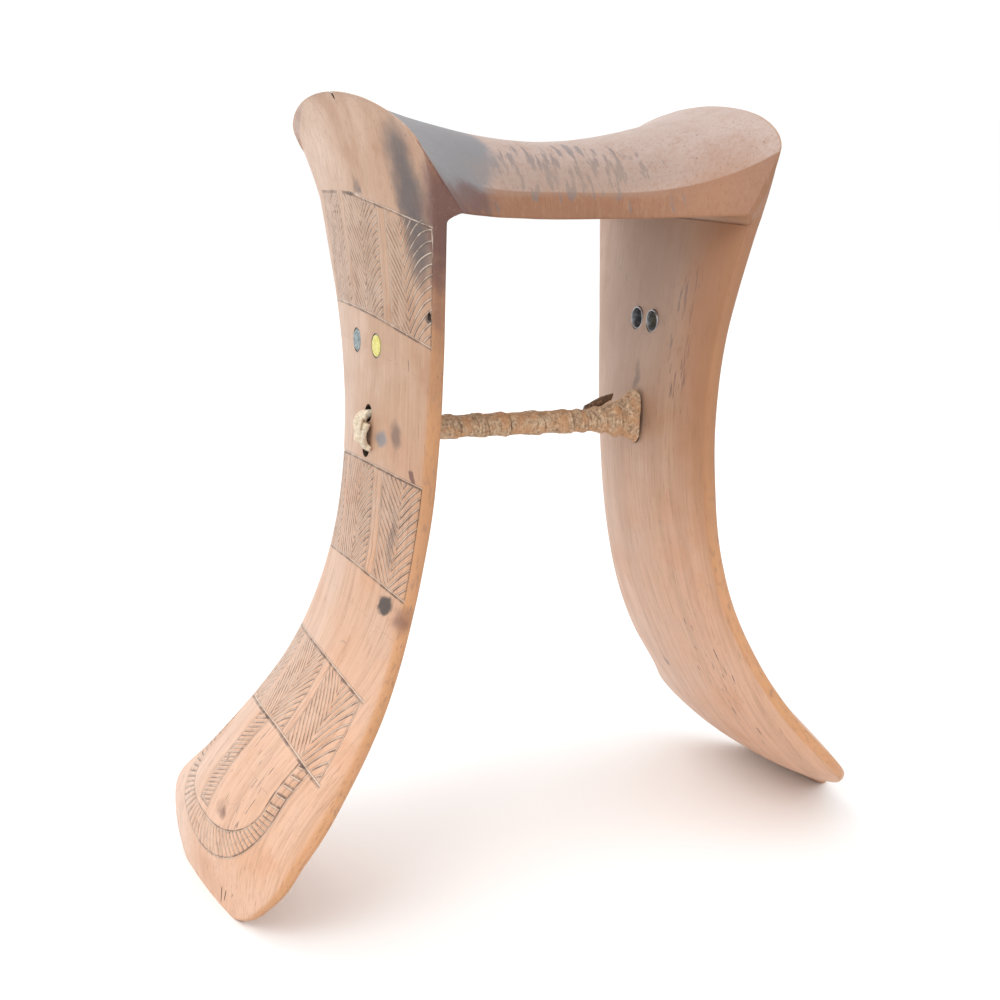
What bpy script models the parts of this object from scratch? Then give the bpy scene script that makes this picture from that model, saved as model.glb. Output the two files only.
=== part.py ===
"""Carved wooden headrest: one block with a saddle seat and two flared legs.

A rawhide lace runs through two holes in each leg and carries a hide-wound
handle. Four sheet-metal tubes with coloured fills are set through the legs.
The block is carved a little out of square: the right leg is the shorter one,
so the whole object is laid out level and then stood on its two soles.
"""
import math

import bmesh
import bpy
import numpy as np
from mathutils import Vector

MM = 0.001
GAP = 0.3                     # clearance between neighbouring pieces, mm

# ---- carved block, millimetres, before it is stood on its soles ----
SEAT_UNDER_Z = 154.7          # underside of the seat at the legs
SEAT_UNDER_DIP = -2.0         # underside at mid span, relative to the legs
INNER_X = 36.0                # inner corner between leg and underside
INNER_FILLET = 2.2
EAR_X = 49.7                  # ear apex
EAR_Z = 179.5
EAR_FRONT_X = 43.7            # where the ear rim reaches the front edge
EAR_FRONT_Z = 168.2
EAR_ROUND = 1.95              # superellipse power of the ear rim
EAR_HALF = 37.7
EAR_LEAN = 0.1                # how far the ear follows the leg before it turns
EAR_SWEEP = (1.1, -0.1)       # how its face arrives at the rim, out and up
SEAT_MID_Z = 169.6            # top of the saddle at mid span, centre line
SEAT_EDGE_Z = 157.7           # top of the saddle at mid span, front edge
SEAT_HALF = 18.0              # half width of the seat at mid span
SEAT_CROWN_POWER = 2.6
SADDLE_POWER = 1.78
SADDLE_EDGE_POWER = 3.4
RIGHT_LEG_SHORT = 4.7         # how much shorter the right leg is
SOLE_SPAN = (78.0, 86.5)      # from the middle to each sole, for the lean
EDGE_ROUND = 0.8

LEG_STATIONS = (0.0, 0.12, 0.30, 0.50, 0.68, 1.0)
LEFT_AXIS_X = (76.4, 70.0, 49.2, 37.0, 34.8, 37.4)
RIGHT_AXIS_X = (90.2, 68.9, 47.9, 37.7, 35.1, 39.8)
WIDTH_STATIONS = (-6.0, -3.0, 0.0, 6.0, 12.0, 19.0, 26.0, 38.0, 60.0, 92.0, 125.0, 154.0)
LEFT_HALF_WIDTH = (3.3, 8.9, 19.8, 32.5, 38.6, 37.5, 35.3, 31.4, 26.2, 24.7, 28.1, 34.4)
RIGHT_HALF_WIDTH = (4.9, 10.8, 14.8, 25.4, 37.4, 41.6, 37.1, 32.6, 27.8, 25.9, 28.3, 35.5)
SKEW_STATIONS = (-6.0, 4.0, 12.0, 22.0, 36.0, 60.0, 92.0, 125.0, 154.0)
LEFT_SKEW = (-1.7, 1.4, 2.0, -3.1, -4.3, 0.7, 0.9, 0.0, 1.9)    # how far back each leg wanders
RIGHT_SKEW = (7.9, 11.2, 7.6, 1.7, 0.4, 0.5, -0.7, 0.7, 2.1)
THICK_STATIONS = (0.0, 12.0, 38.0, 92.0, 130.0, 154.0)
THICKNESS = (3.0, 10.4, 9.95, 11.4, 8.2, 8.8)
EDGE_THICKNESS = (2.0, 2.2, 2.5, 2.9, 3.1, 3.3)
OUTER_CROWN_SHARE = 0.56

# ---- holes, lace, handle and inlay, millimetres ----
INLAY_Z = {-1: 124.0, 1: 128.2}               # on the left leg and on the right
INLAY_Y = {-1: (-3.0, 9.3), 1: (-2.1, 5.1)}   # front one and rear one
INLAY_HOLE_R = 2.95
TUBE_R = 2.66
TUBE_BORE_R = 2.3
FILL_R = 2.0
FILL_LENGTH = 3.2
LACE_Z = 104.4
LACE_HALF_GAP = 4.05
LACE_HOLE_R = 2.0
LACE_R = 1.1
STRAND_HALF_GAP = 1.3         # the two runs of lace inside the handle
LACE_STANDOFF = 1.45          # lace centre above the wood on the outer faces
WRAP_HALF_HEIGHT = 3.1
WRAP_HALF_DEPTH = 2.65
WRAP_BORE_HEIGHT = 2.78
WRAP_BORE_DEPTH = 1.5
WRAP_FLARE = 3.0
WRAP_FLARE_LENGTH = 9.0

ACROSS = (0.0, 0.16, 0.32, 0.48, 0.63, 0.76, 0.87, 0.95, 1.0)


def clear_scene():
    """Remove whatever objects the session starts with."""
    for obj in list(bpy.data.objects):
        bpy.data.objects.remove(obj)


def smooth_curve(xs, ys):
    """Return a natural cubic spline through the stations."""
    xs, ys = np.array(xs, float), np.array(ys, float)
    n, h = len(xs), np.diff(xs)
    a, r = np.eye(n), np.zeros(n)
    for i in range(1, n - 1):
        a[i, i - 1:i + 2] = h[i - 1], 2 * (h[i - 1] + h[i]), h[i]
        r[i] = 6 * ((ys[i + 1] - ys[i]) / h[i] - (ys[i] - ys[i - 1]) / h[i - 1])
    m = np.linalg.solve(a, r)

    def value(x):
        i = int(np.clip(np.searchsorted(xs, x) - 1, 0, n - 2))
        u, v = (xs[i + 1] - x) / h[i], (x - xs[i]) / h[i]
        bend = ((u ** 3 - u) * m[i] + (v ** 3 - v) * m[i + 1]) * h[i] ** 2 / 6
        return float(u * ys[i] + v * ys[i + 1] + bend)
    return value


def hermite(a, b, ta, tb, u):
    """Cubic from a to b with end tangents ta and tb."""
    return ((2 * u ** 3 - 3 * u ** 2 + 1) * a + (u ** 3 - 2 * u ** 2 + u) * ta
            + (3 * u ** 2 - 2 * u ** 3) * b + (u ** 3 - u ** 2) * tb)


TILT = math.atan2(RIGHT_LEG_SHORT, SOLE_SPAN[0] + SOLE_SPAN[1])
SOLE_DROP = SOLE_SPAN[0] * math.sin(TILT)
CENTRE_SHIFT_X = 7.237        # bring the middle of the whole object to the origin
CENTRE_SHIFT_Y = 3.136


def stand(p):
    """Take a point of the level layout to its place on the ground, metres."""
    c, s = math.cos(TILT), math.sin(TILT)
    x = p[0] * c + p[2] * s - CENTRE_SHIFT_X
    y = p[1] - CENTRE_SHIFT_Y
    z = -p[0] * s + p[2] * c - SOLE_DROP
    return Vector((x * MM, y * MM, z * MM))


def leg_profile(right):
    """Splines of one leg: axis x, half width and offset to the back over height."""
    low = RIGHT_LEG_SHORT if right else 0.0
    zs = [low + (SEAT_UNDER_Z - low) * f for f in LEG_STATIONS]
    axis = smooth_curve(zs, RIGHT_AXIS_X if right else LEFT_AXIS_X)
    width = smooth_curve(WIDTH_STATIONS, RIGHT_HALF_WIDTH if right else LEFT_HALF_WIDTH)
    skew = smooth_curve(SKEW_STATIONS, RIGHT_SKEW if right else LEFT_SKEW)
    return axis, width, skew, low


THICK = smooth_curve(THICK_STATIONS, THICKNESS)
EDGE = smooth_curve(THICK_STATIONS, EDGE_THICKNESS)
ETA = sorted({s * e for e in ACROSS for s in (-1, 1)})


def leg_sides(axis, z, low):
    """Outer and inner (x, z) points across the leg at axis height z."""
    slope = (axis(z + 0.5) - axis(z - 0.5))
    length = math.hypot(1, slope)
    n = np.array([1 / length, -slope / length])
    c = np.array([axis(z), z])
    t, e = THICK(max(z - low, 0)), EDGE(max(z - low, 0))
    crown = OUTER_CROWN_SHARE * (t - e)
    dip = (t - e) - crown
    outer = [c + n * (t / 2 - crown * abs(q) ** 2.2) for q in ETA]
    inner = [c - n * (t / 2 - dip * abs(q) ** 2.2) for q in ETA]
    return outer, inner, slope


def round_ring(outer, inner, half, shift):
    """Close one section, with its four arrises rounded."""
    top = [np.array([o[0], q * half + shift, o[1]]) for o, q in zip(outer, ETA)]
    low = [np.array([i[0], q * half + shift, i[1]]) for i, q in zip(inner, ETA)]
    loop = top + low[::-1]
    n, m, out = len(loop), len(ETA), []
    for k, p in enumerate(loop):
        if k not in (0, m - 1, m, n - 1):
            out.append(p)
            continue
        a, b = loop[k - 1] - p, loop[(k + 1) % n] - p
        la, lb = np.linalg.norm(a), np.linalg.norm(b)
        r = min(EDGE_ROUND, 0.32 * la, 0.32 * lb)
        pa, pb = p + a * r / la, p + b * r / lb
        out += [pa, (pa + pb) / 2 * 0.45 + p * 0.55, pb]
    return out


def half_sections(right):
    """Sections of one half, from its foot up the leg and over to mid span."""
    axis, width, skew, low = leg_profile(right)
    rings = []
    zs = [-5.0, -2.0, 0.5, 3.0, 6.0, 9.5, 13.5, 18.0, 23.0, 28.5, 35.0]
    zs += list(np.linspace(43.0, SEAT_UNDER_Z - INNER_FILLET - 0.6, 13))
    for z0 in zs:
        z = low + z0 * (SEAT_UNDER_Z - low) / SEAT_UNDER_Z
        outer, inner, slope = leg_sides(axis, z, low)
        rings.append(round_ring(outer, inner, width(z0), skew(z0)))
    top, corner, slope = leg_sides(axis, SEAT_UNDER_Z, low)
    apex, front = np.array([EAR_X, EAR_Z]), np.array([EAR_FRONT_X, EAR_FRONT_Z])
    arch = [max(0.0, 1 - abs(q) ** EAR_ROUND) ** (1 / EAR_ROUND) for q in ETA]
    rim = [front + (apex - front) * c for c in arch]
    lean = np.array([slope, 1.0])

    def fan(u):
        pts = []
        for p, e, c in zip(top, rim, arch):
            d = e - p
            t1 = np.array([d[0] * EAR_SWEEP[0] + 2 * c, d[1] * EAR_SWEEP[1]])
            pts.append(hermite(p, e, lean * np.hypot(*d) * EAR_LEAN, t1, u))
        return pts

    def seat(v):
        pts = []
        for q, e in zip(ETA, rim):
            s = abs(q) ** SEAT_CROWN_POWER
            mid = SEAT_MID_Z + (SEAT_EDGE_Z - SEAT_MID_Z) * s
            power = SADDLE_POWER + (SADDLE_EDGE_POWER - SADDLE_POWER) * s
            pts.append(np.array([e[0] * v, mid + (e[1] - mid) * v ** power]))
        return pts

    def under(a):
        """Inner points: 0 at the leg, 1 past the inner fillet."""
        ang = a * math.pi / 2
        dx = INNER_FILLET * (1 - math.cos(ang))
        dz = INNER_FILLET * (1 - math.sin(ang))
        return [np.array([i[0] - dx, SEAT_UNDER_Z - dz]) for i in corner]

    leg_top, top_skew = width(SEAT_UNDER_Z), skew(SEAT_UNDER_Z)
    us = (0.0, 0.22, 0.45, 0.68, 0.86, 0.95)
    for k, u in enumerate(us):
        half = leg_top + (EAR_HALF - leg_top) * u * u * (3 - 2 * u)
        rings.append(round_ring(fan(u), under(k / 7), half, top_skew))
    worn = [0.4 * e + 0.3 * a + 0.3 * b for e, a, b in zip(rim, fan(0.93), seat(0.97))]
    rings.append(round_ring(worn, under(6 / 7), EAR_HALF, top_skew))
    for k, v in enumerate((0.975, 0.92, 0.82, 0.7, 0.57, 0.43, 0.29, 0.15, 0.0)):
        base = under(1.0)
        if k:
            f = (v / 0.975)
            base = [np.array([b[0] * f, b[1] + SEAT_UNDER_DIP * (1 - f * f)]) for b in base]
        half = SEAT_HALF + (EAR_HALF - SEAT_HALF) * v ** 2
        rings.append(round_ring(seat(v), base, half, top_skew * v))
    return rings


def material(name, colour, roughness, metallic=0.0):
    """Make a plain Principled material."""
    mat = bpy.data.materials.new(name)
    mat.use_nodes = True
    shader = mat.node_tree.nodes["Principled BSDF"]
    shader.inputs["Base Color"].default_value = (*colour, 1.0)
    shader.inputs["Roughness"].default_value = roughness
    shader.inputs["Metallic"].default_value = metallic
    return mat


def finish(bm, name, mat, angle=40):
    """Turn a closed bmesh into a named, smooth-shaded object."""
    bmesh.ops.remove_doubles(bm, verts=bm.verts, dist=1e-6)
    bmesh.ops.recalc_face_normals(bm, faces=bm.faces)
    if bm.calc_volume(signed=True) < 0:
        bmesh.ops.reverse_faces(bm, faces=bm.faces)
    mesh = bpy.data.meshes.new(name)
    bm.to_mesh(mesh)
    bm.free()
    mesh.materials.append(mat)
    mesh.shade_smooth()
    mesh.set_sharp_from_angle(angle=math.radians(angle))
    obj = bpy.data.objects.new(name, mesh)
    bpy.context.scene.collection.objects.link(obj)
    return obj


def skin(bm, rings, closed=False):
    """Bridge rings of points with quads and cap the two ends."""
    rows = [[bm.verts.new(p) for p in ring] for ring in rings]
    n, last = len(rows[0]), len(rows) if closed else len(rows) - 1
    for i in range(last):
        a, b = rows[i], rows[(i + 1) % len(rows)]
        for j in range(n):
            bm.faces.new((a[j], a[(j + 1) % n], b[(j + 1) % n], b[j]))
    if not closed:
        bm.faces.new(rows[0])
        bm.faces.new(rows[-1][::-1])


def carve_block(mat):
    """Loft the block over both halves and cut both soles flat at Z = 0."""
    right = [[stand(p) for p in ring] for ring in half_sections(True)]
    left = [[stand((-p[0], p[1], p[2])) for p in ring] for ring in half_sections(False)]
    bm = bmesh.new()
    skin(bm, right + left[-2::-1])
    geom = list(bm.verts) + list(bm.edges) + list(bm.faces)
    cut = bmesh.ops.bisect_plane(bm, geom=geom, dist=1e-6, plane_co=(0, 0, 0),
                                 plane_no=(0, 0, 1), clear_inner=True)
    rim = [e for e in cut["geom_cut"] if isinstance(e, bmesh.types.BMEdge)]
    bmesh.ops.holes_fill(bm, edges=[e for e in rim if e.is_boundary], sides=0)
    return finish(bm, "carved_body", mat, 50)


def rod(bm, start, end, radius, segments):
    """Add a capped round rod between two points of the level layout."""
    a, b = stand(start), stand(end)
    d = (b - a).normalized()
    u = d.cross(Vector((0, 1, 0))).normalized()
    v = d.cross(u)
    ring = []
    for k in range(segments):
        ang = 2 * math.pi * k / segments
        ring.append((u * math.cos(ang) + v * math.sin(ang)) * radius * MM)
    skin(bm, [[a + r for r in ring], [b + r for r in ring]])


def drill(body, name, x, y, z, radius, segments):
    """Cut one hole through a leg with an exact Boolean."""
    bm = bmesh.new()
    rod(bm, (x - 16, y, z), (x + 16, y, z), radius, segments)
    cutter = finish(bm, "guide_" + name, body.data.materials[0])
    cutter.hide_render = True
    cutter.display_type = "WIRE"
    mod = body.modifiers.new(name, "BOOLEAN")
    mod.operation = "DIFFERENCE"
    mod.solver = "EXACT"
    mod.object = cutter


def face_x(side, z, y=0.0, outer=True):
    """Signed x of a leg's outer or inner face at height z, at offset y."""
    axis, width, skew, low = leg_profile(side > 0)
    lo, hi = z - 8, z + 8
    q = min(1.0, abs(y - skew(z)) / width(z))
    pick = min(range(len(ETA)), key=lambda k: abs(abs(ETA[k]) - q))
    for _ in range(24):
        mid = (lo + hi) / 2
        out, inn, _s = leg_sides(axis, mid, low)
        p = (out if outer else inn)[pick]
        lo, hi = (mid, hi) if p[1] < z else (lo, mid)
    return side * p[0]


def lace_route():
    """Points of the lace from its first end, round both legs, to its second."""
    up, dn = LACE_Z + LACE_HALF_GAP, LACE_Z - LACE_HALF_GAP
    lo_l, lo_r = face_x(-1, dn), face_x(1, dn)
    hi_l, hi_r = face_x(-1, up), face_x(1, up)
    out, s = LACE_STANDOFF, STRAND_HALF_GAP
    lap = LACE_R + GAP / 2 + 0.05
    in_l, in_r = face_x(-1, LACE_Z, 0, False), face_x(1, LACE_Z, 0, False)
    run = [(in_l - 1.0, 0, up), (in_l + 2.6, 0, up - 1.1), (in_l + 8.0, 0, LACE_Z + s)]
    back = [(in_r - 8.0, 0, LACE_Z + s), (in_r - 2.6, 0, up - 1.1), (in_r + 1.0, 0, up)]
    pts = [(lo_l - out, lap, dn + 1.2), (lo_l - out, lap, LACE_Z), (hi_l - out, lap, up - 1.2)]
    pts += [(hi_l - 0.9, lap * 0.55, up - 0.1), (hi_l + 1.6, 0, up)]
    pts += run + back
    pts += [(hi_r - 1.6, 0, up), (hi_r + 0.9, 0, up - 0.1), (hi_r + out, 0, up - 1.2)]
    pts += [((lo_r + hi_r) / 2 + out, 0, LACE_Z)]
    pts += [(lo_r + out, 0, dn + 1.2), (lo_r + 0.9, 0, dn + 0.1), (lo_r - 1.6, 0, dn)]
    pts += [(p[0], 0, 2 * LACE_Z - p[2]) for p in back[::-1]]
    pts += [(p[0], 0, 2 * LACE_Z - p[2]) for p in run[::-1]]
    pts += [(lo_l + 1.6, 0, dn), (lo_l - 0.9, -lap * 0.55, dn + 0.1)]
    pts += [(lo_l - out, -lap, dn + 1.2), (lo_l - out, -lap, LACE_Z)]
    pts += [(hi_l - out, -lap, up - 1.2)]
    return [stand(p) for p in pts]


def lace(mat):
    """Sweep the rawhide lace along its whole route as one capped tube."""
    curve = bpy.data.curves.new("lace_path", "CURVE")
    curve.dimensions = "3D"
    curve.bevel_depth = LACE_R * MM
    curve.bevel_resolution = 1
    curve.resolution_u = 3
    curve.render_resolution_u = 3
    curve.use_fill_caps = True
    curve.twist_mode = "MINIMUM"
    pts = lace_route()
    spline = curve.splines.new("BEZIER")
    spline.bezier_points.add(len(pts) - 1)
    for k, (bp, p) in enumerate(zip(spline.bezier_points, pts)):
        before, after = pts[max(k - 1, 0)], pts[min(k + 1, len(pts) - 1)]
        t = (after - before).normalized()
        bp.co = p
        bp.handle_left = p - t * (p - before).length / 3
        bp.handle_right = p + t * (after - p).length / 3
    holder = bpy.data.objects.new("lace_path", curve)
    bpy.context.scene.collection.objects.link(holder)
    graph = bpy.context.evaluated_depsgraph_get()
    mesh = bpy.data.meshes.new_from_object(holder.evaluated_get(graph))
    bm = bmesh.new()
    bm.from_mesh(mesh)
    bpy.data.objects.remove(holder)
    return finish(bm, "rawhide_lace", mat, 60)


def oval(x, half_z, half_y, segments=24):
    """A flattened ring of points across the handle at x, level layout."""
    pts = []
    for k in range(segments):
        a = 2 * math.pi * k / segments
        c, s = math.cos(a), math.sin(a)
        y = half_y * math.copysign(abs(s) ** 0.9, s)
        z = half_z * math.copysign(abs(c) ** 0.9, c)
        pts.append(stand((x, y, LACE_Z + z)))
    return pts


def handle_wrap(mat):
    """The hide strip wound round the two runs of lace, flared at both ends."""
    left = face_x(-1, LACE_Z, 0, False) + GAP + 0.5
    right = face_x(1, LACE_Z, 0, False) - GAP - 0.5
    turns = 11
    outer, inner = [], []
    steps = 3 * turns
    for k in range(steps + 1):
        x = left + (right - left) * k / steps
        end = min(x - left, right - x)
        swell = WRAP_FLARE * max(0.0, 1 - end / WRAP_FLARE_LENGTH) ** 1.5
        lip = 0.28 if k % 3 == 0 else (0.12 if k % 3 == 1 else 0.0)
        outer.append(oval(x, WRAP_HALF_HEIGHT + swell - lip,
                          WRAP_HALF_DEPTH + 0.25 * swell - lip))
        inner.append(oval(x, WRAP_BORE_HEIGHT + swell, WRAP_BORE_DEPTH))
    bm = bmesh.new()
    skin(bm, outer + inner[::-1], closed=True)
    return finish(bm, "handle_wrap", mat, 60)


def leather_tab(mat):
    """The short folded tab of leather lying against the back of the wrap."""
    x1 = face_x(1, LACE_Z, 0, False) - 4.0
    y0 = WRAP_HALF_DEPTH + GAP + 1.0
    bm = bmesh.new()
    sections = []
    for k, (x, y, z, w) in enumerate(((-7.5, 0.6, 1.9, 1.1), (-4.5, 0.3, 2.3, 1.9),
                                      (-1.5, 0.2, 3.2, 1.7), (0.0, 0.2, 3.7, 1.2))):
        c = (x1 + x, y0 + y, LACE_Z + z)
        sections.append([stand((c[0], c[1] + a * 0.75, c[2] + b * w))
                         for a, b in ((-1, -0.7), (1, -1), (1, 0.7), (-1, 1))])
    skin(bm, sections)
    tab = finish(bm, "leather_tab", mat)
    bev = tab.modifiers.new("soften", "BEVEL")
    bev.width = 0.2 * MM
    bev.segments = 1
    return tab


def inlay(side, y, label, metal, fill_mat):
    """One sheet-metal tube through the leg, with its coloured fill outside."""
    z = INLAY_Z[side]
    outer = face_x(side, z, y)
    inner = face_x(side, z, y, False)
    o, i = outer + side * 0.15, inner - side * 0.15
    bm = bmesh.new()
    segments = 20

    def circle(x, r):
        a0 = [2 * math.pi * k / segments for k in range(segments)]
        return [stand((x, y + r * math.cos(a), z + r * math.sin(a))) for a in a0]

    skin(bm, [circle(o, TUBE_R), circle(i, TUBE_R), circle(i, TUBE_BORE_R),
              circle(o, TUBE_BORE_R)], closed=True)
    finish(bm, "inlay_tube_" + label, metal)
    bm = bmesh.new()
    skin(bm, [circle(o - side * 0.15, FILL_R - 0.35), circle(o - side * 0.35, FILL_R),
              circle(o - side * FILL_LENGTH, FILL_R)])
    finish(bm, "inlay_fill_" + label, fill_mat)


def main():
    """Build every piece of the headrest."""
    clear_scene()
    wood = material("wood_oiled", (0.52, 0.31, 0.17), 0.55)
    hide = material("rawhide", (0.72, 0.6, 0.42), 0.7)
    wound = material("wound_hide", (0.33, 0.25, 0.17), 0.85)
    leather = material("brown_leather", (0.16, 0.08, 0.04), 0.5)
    metal = material("sheet_aluminium", (0.62, 0.61, 0.58), 0.4, 1.0)
    grey = material("fill_blue_grey", (0.18, 0.23, 0.26), 0.35)
    yellow = material("fill_yellow", (0.75, 0.6, 0.05), 0.35)
    body = carve_block(wood)
    for side, tag in ((-1, "left"), (1, "right")):
        for y, place in zip(INLAY_Y[side], ("front", "rear")):
            z = INLAY_Z[side]
            x = (face_x(side, z, y) + face_x(side, z, y, False)) / 2
            drill(body, f"inlay_{tag}_{place}", x, y, z, INLAY_HOLE_R, 20)
            fill = yellow if place == "front" else grey
            inlay(side, y, f"{tag}_{place}", metal, fill)
        for dz, place in ((LACE_HALF_GAP, "upper"), (-LACE_HALF_GAP, "lower")):
            x = (face_x(side, LACE_Z + dz) + face_x(side, LACE_Z + dz, 0, False)) / 2
            drill(body, f"lace_{tag}_{place}", x, 0.0, LACE_Z + dz, LACE_HOLE_R, 16)
    lace(hide)
    handle_wrap(wound)
    leather_tab(leather)


main()
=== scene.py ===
"""Carved two-legged headrest: worn, incised wood, a laced handle and metal inlay."""
import logging
import math
from dataclasses import dataclass
from enum import Enum
from typing import Any, Callable, Iterable, Sequence

import bmesh
import bpy
import numpy as np
from mathutils import Matrix, Vector, noise


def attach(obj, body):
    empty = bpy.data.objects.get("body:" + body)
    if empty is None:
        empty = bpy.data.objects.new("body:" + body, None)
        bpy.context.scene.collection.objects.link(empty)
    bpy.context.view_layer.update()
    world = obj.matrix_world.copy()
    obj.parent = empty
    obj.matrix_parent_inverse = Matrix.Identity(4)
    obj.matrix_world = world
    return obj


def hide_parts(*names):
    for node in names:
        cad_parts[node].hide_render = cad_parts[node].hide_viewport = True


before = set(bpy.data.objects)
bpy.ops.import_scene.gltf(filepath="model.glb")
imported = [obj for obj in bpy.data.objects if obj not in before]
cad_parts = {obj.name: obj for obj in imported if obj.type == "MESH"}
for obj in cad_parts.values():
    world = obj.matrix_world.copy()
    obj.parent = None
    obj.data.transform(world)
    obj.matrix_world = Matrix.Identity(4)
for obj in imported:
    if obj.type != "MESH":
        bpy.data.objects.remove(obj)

log = logging.getLogger("headrest")

MM = 0.001
NOISE_SEED = 7
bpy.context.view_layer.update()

Socket = bpy.types.NodeSocket
Spline = Callable[[np.ndarray], np.ndarray]


class Side(Enum):
    """The two legs, by the sign of their X."""

    LEFT = -1
    RIGHT = 1


class Row(Enum):
    """The two inlays of a leg, by the sign of their Y."""

    FRONT = -1
    REAR = 1


# ----------------------------------------------------------------- modelling


def deselect_all() -> None:
    """Deselect every object."""
    bpy.ops.object.select_all(action="DESELECT")


def choose(obj: bpy.types.Object) -> None:
    """Make one object the only selected one, and active.

    Args:
        obj: the object.
    """
    deselect_all()
    obj.select_set(True)
    bpy.context.view_layer.objects.active = obj


def bake_place(obj: bpy.types.Object) -> None:
    """Put an object's location, turn and scale into its mesh."""
    choose(obj)
    bpy.ops.object.transform_apply(location=True, rotation=True, scale=True)


def apply_modifiers(obj: bpy.types.Object) -> None:
    """Apply every modifier of an object, in order.

    Args:
        obj: the object.
    """
    choose(obj)
    for mod in list(obj.modifiers):
        bpy.ops.object.modifier_apply(modifier=mod.name)


def smooth(obj: bpy.types.Object, degrees: float = 45.0) -> None:
    """Shade smooth, with edges sharper than the angle left crisp."""
    choose(obj)
    bpy.ops.object.shade_smooth_by_angle(angle=math.radians(degrees))


def write_attribute(obj: bpy.types.Object, name: str, values: np.ndarray) -> None:
    """Store one number, or one vector, per vertex on a mesh.

    Args:
        obj: the object.
        name: name of the attribute.
        values: one number, or one vector, per vertex.
    """
    kind, slot = ("FLOAT", "value") if values.ndim == 1 else ("FLOAT_VECTOR", "vector")
    layer = obj.data.attributes.new(name, kind, "POINT")
    layer.data.foreach_set(slot, np.ascontiguousarray(values, np.float32).ravel())


def skin_grid(name: str, points: np.ndarray, fields: dict[str, np.ndarray] | None = None,
              caps: bool = True) -> bpy.types.Object:
    """Wrap a grid primitive round the object, ring by ring.

    Args:
        name: name of the new object.
        points: rings by columns by three, in metres; a ring's columns close on themselves.
        fields: numbers per ring and column, stored as attributes.
        caps: close both ends with a face; otherwise the last ring meets the first.

    Returns:
        A closed mesh object.
    """
    closed = np.concatenate([points, points[:, :1]], axis=1)
    if not caps:
        closed = np.concatenate([closed, closed[:1]], axis=0)
    rows, cols = closed.shape[:2]
    deselect_all()
    bpy.ops.mesh.primitive_grid_add(x_subdivisions=cols - 1, y_subdivisions=rows - 1, size=2.0)
    obj = bpy.context.object
    obj.name = obj.data.name = name
    flat = np.zeros(len(obj.data.vertices) * 3, np.float32)
    obj.data.vertices.foreach_get("co", flat)
    flat = flat.reshape(-1, 3)
    ix = np.rint((flat[:, 0] + 1) / 2 * (cols - 1)).astype(int)
    iy = np.rint((flat[:, 1] + 1) / 2 * (rows - 1)).astype(int)
    obj.data.vertices.foreach_set("co", closed[iy, ix].astype(np.float32).ravel())
    for key, field in (fields or {}).items():
        write_attribute(obj, key, field[iy % points.shape[0], ix % points.shape[1]])
    obj.data.update()
    bpy.ops.object.mode_set(mode="EDIT")
    bpy.ops.mesh.select_all(action="SELECT")
    bpy.ops.mesh.remove_doubles(threshold=1e-7)
    if caps:
        bpy.ops.mesh.select_all(action="SELECT")
        bpy.ops.mesh.fill_holes(sides=0)
    bpy.ops.mesh.select_all(action="SELECT")
    bpy.ops.mesh.normals_make_consistent(inside=False)
    bpy.ops.object.mode_set(mode="OBJECT")
    probe = bmesh.new()
    probe.from_mesh(obj.data)
    inside_out = probe.calc_volume(signed=True) < 0
    probe.free()
    if inside_out:
        obj.data.flip_normals()
    return obj


def spline(xs: Sequence[float], ys: Sequence[float]) -> Spline:
    """Return a natural cubic through the stations, for numbers or arrays.

    Args:
        xs: rising station positions.
        ys: value at each station.

    Returns:
        A function of position.
    """
    x, y = np.array(xs, float), np.array(ys, float)
    n, h = len(x), np.diff(x)
    a, r = np.eye(n), np.zeros(n)
    for i in range(1, n - 1):
        a[i, i - 1:i + 2] = h[i - 1], 2 * (h[i - 1] + h[i]), h[i]
        r[i] = 6 * ((y[i + 1] - y[i]) / h[i] - (y[i] - y[i - 1]) / h[i - 1])
    m = np.linalg.solve(a, r)

    def value(t: Any) -> Any:
        """Evaluate the curve.

        Args:
            t: positions along the stations.

        Returns:
            The value at each position.
        """
        t = np.asarray(t, float)
        i = np.clip(np.searchsorted(x, t) - 1, 0, n - 2)
        u, v = (x[i + 1] - t) / h[i], (t - x[i]) / h[i]
        bend = ((u ** 3 - u) * m[i] + (v ** 3 - v) * m[i + 1]) * h[i] ** 2 / 6
        return u * y[i] + v * y[i + 1] + bend

    return value


def rough_field(points: np.ndarray, scale: float, seed: float, octaves: int = 2) -> np.ndarray:
    """Smooth random numbers from about -1 to 1 at each point.

    Args:
        points: any array of points, in millimetres.
        scale: size of the lumps, in millimetres.
        seed: shifts the pattern.
        octaves: how many finer layers are added.

    Returns:
        One number per point.
    """
    flat = points.reshape(-1, 3) / scale + seed
    out = [noise.fractal(Vector(p), 1.0, 2.0, octaves) for p in flat.tolist()]
    return np.array(out).reshape(points.shape[:-1])


def squared(wave: np.ndarray, power: float) -> np.ndarray:
    """Flatten a sine or cosine, so that a round section turns squarer."""
    return np.sign(wave) * np.abs(wave) ** power


def grid_normals(points: np.ndarray) -> np.ndarray:
    """Unit normals of a ring grid, from its neighbours along and across.

    Args:
        points: ring grid of points.

    Returns:
        One unit vector per point.
    """
    across = np.roll(points, -1, axis=1) - np.roll(points, 1, axis=1)
    along = np.gradient(points, axis=0)
    n = np.cross(across, along)
    return n / np.maximum(np.linalg.norm(n, axis=2, keepdims=True), 1e-9)


# --------------------------------------------------------------- how it stands


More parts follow.
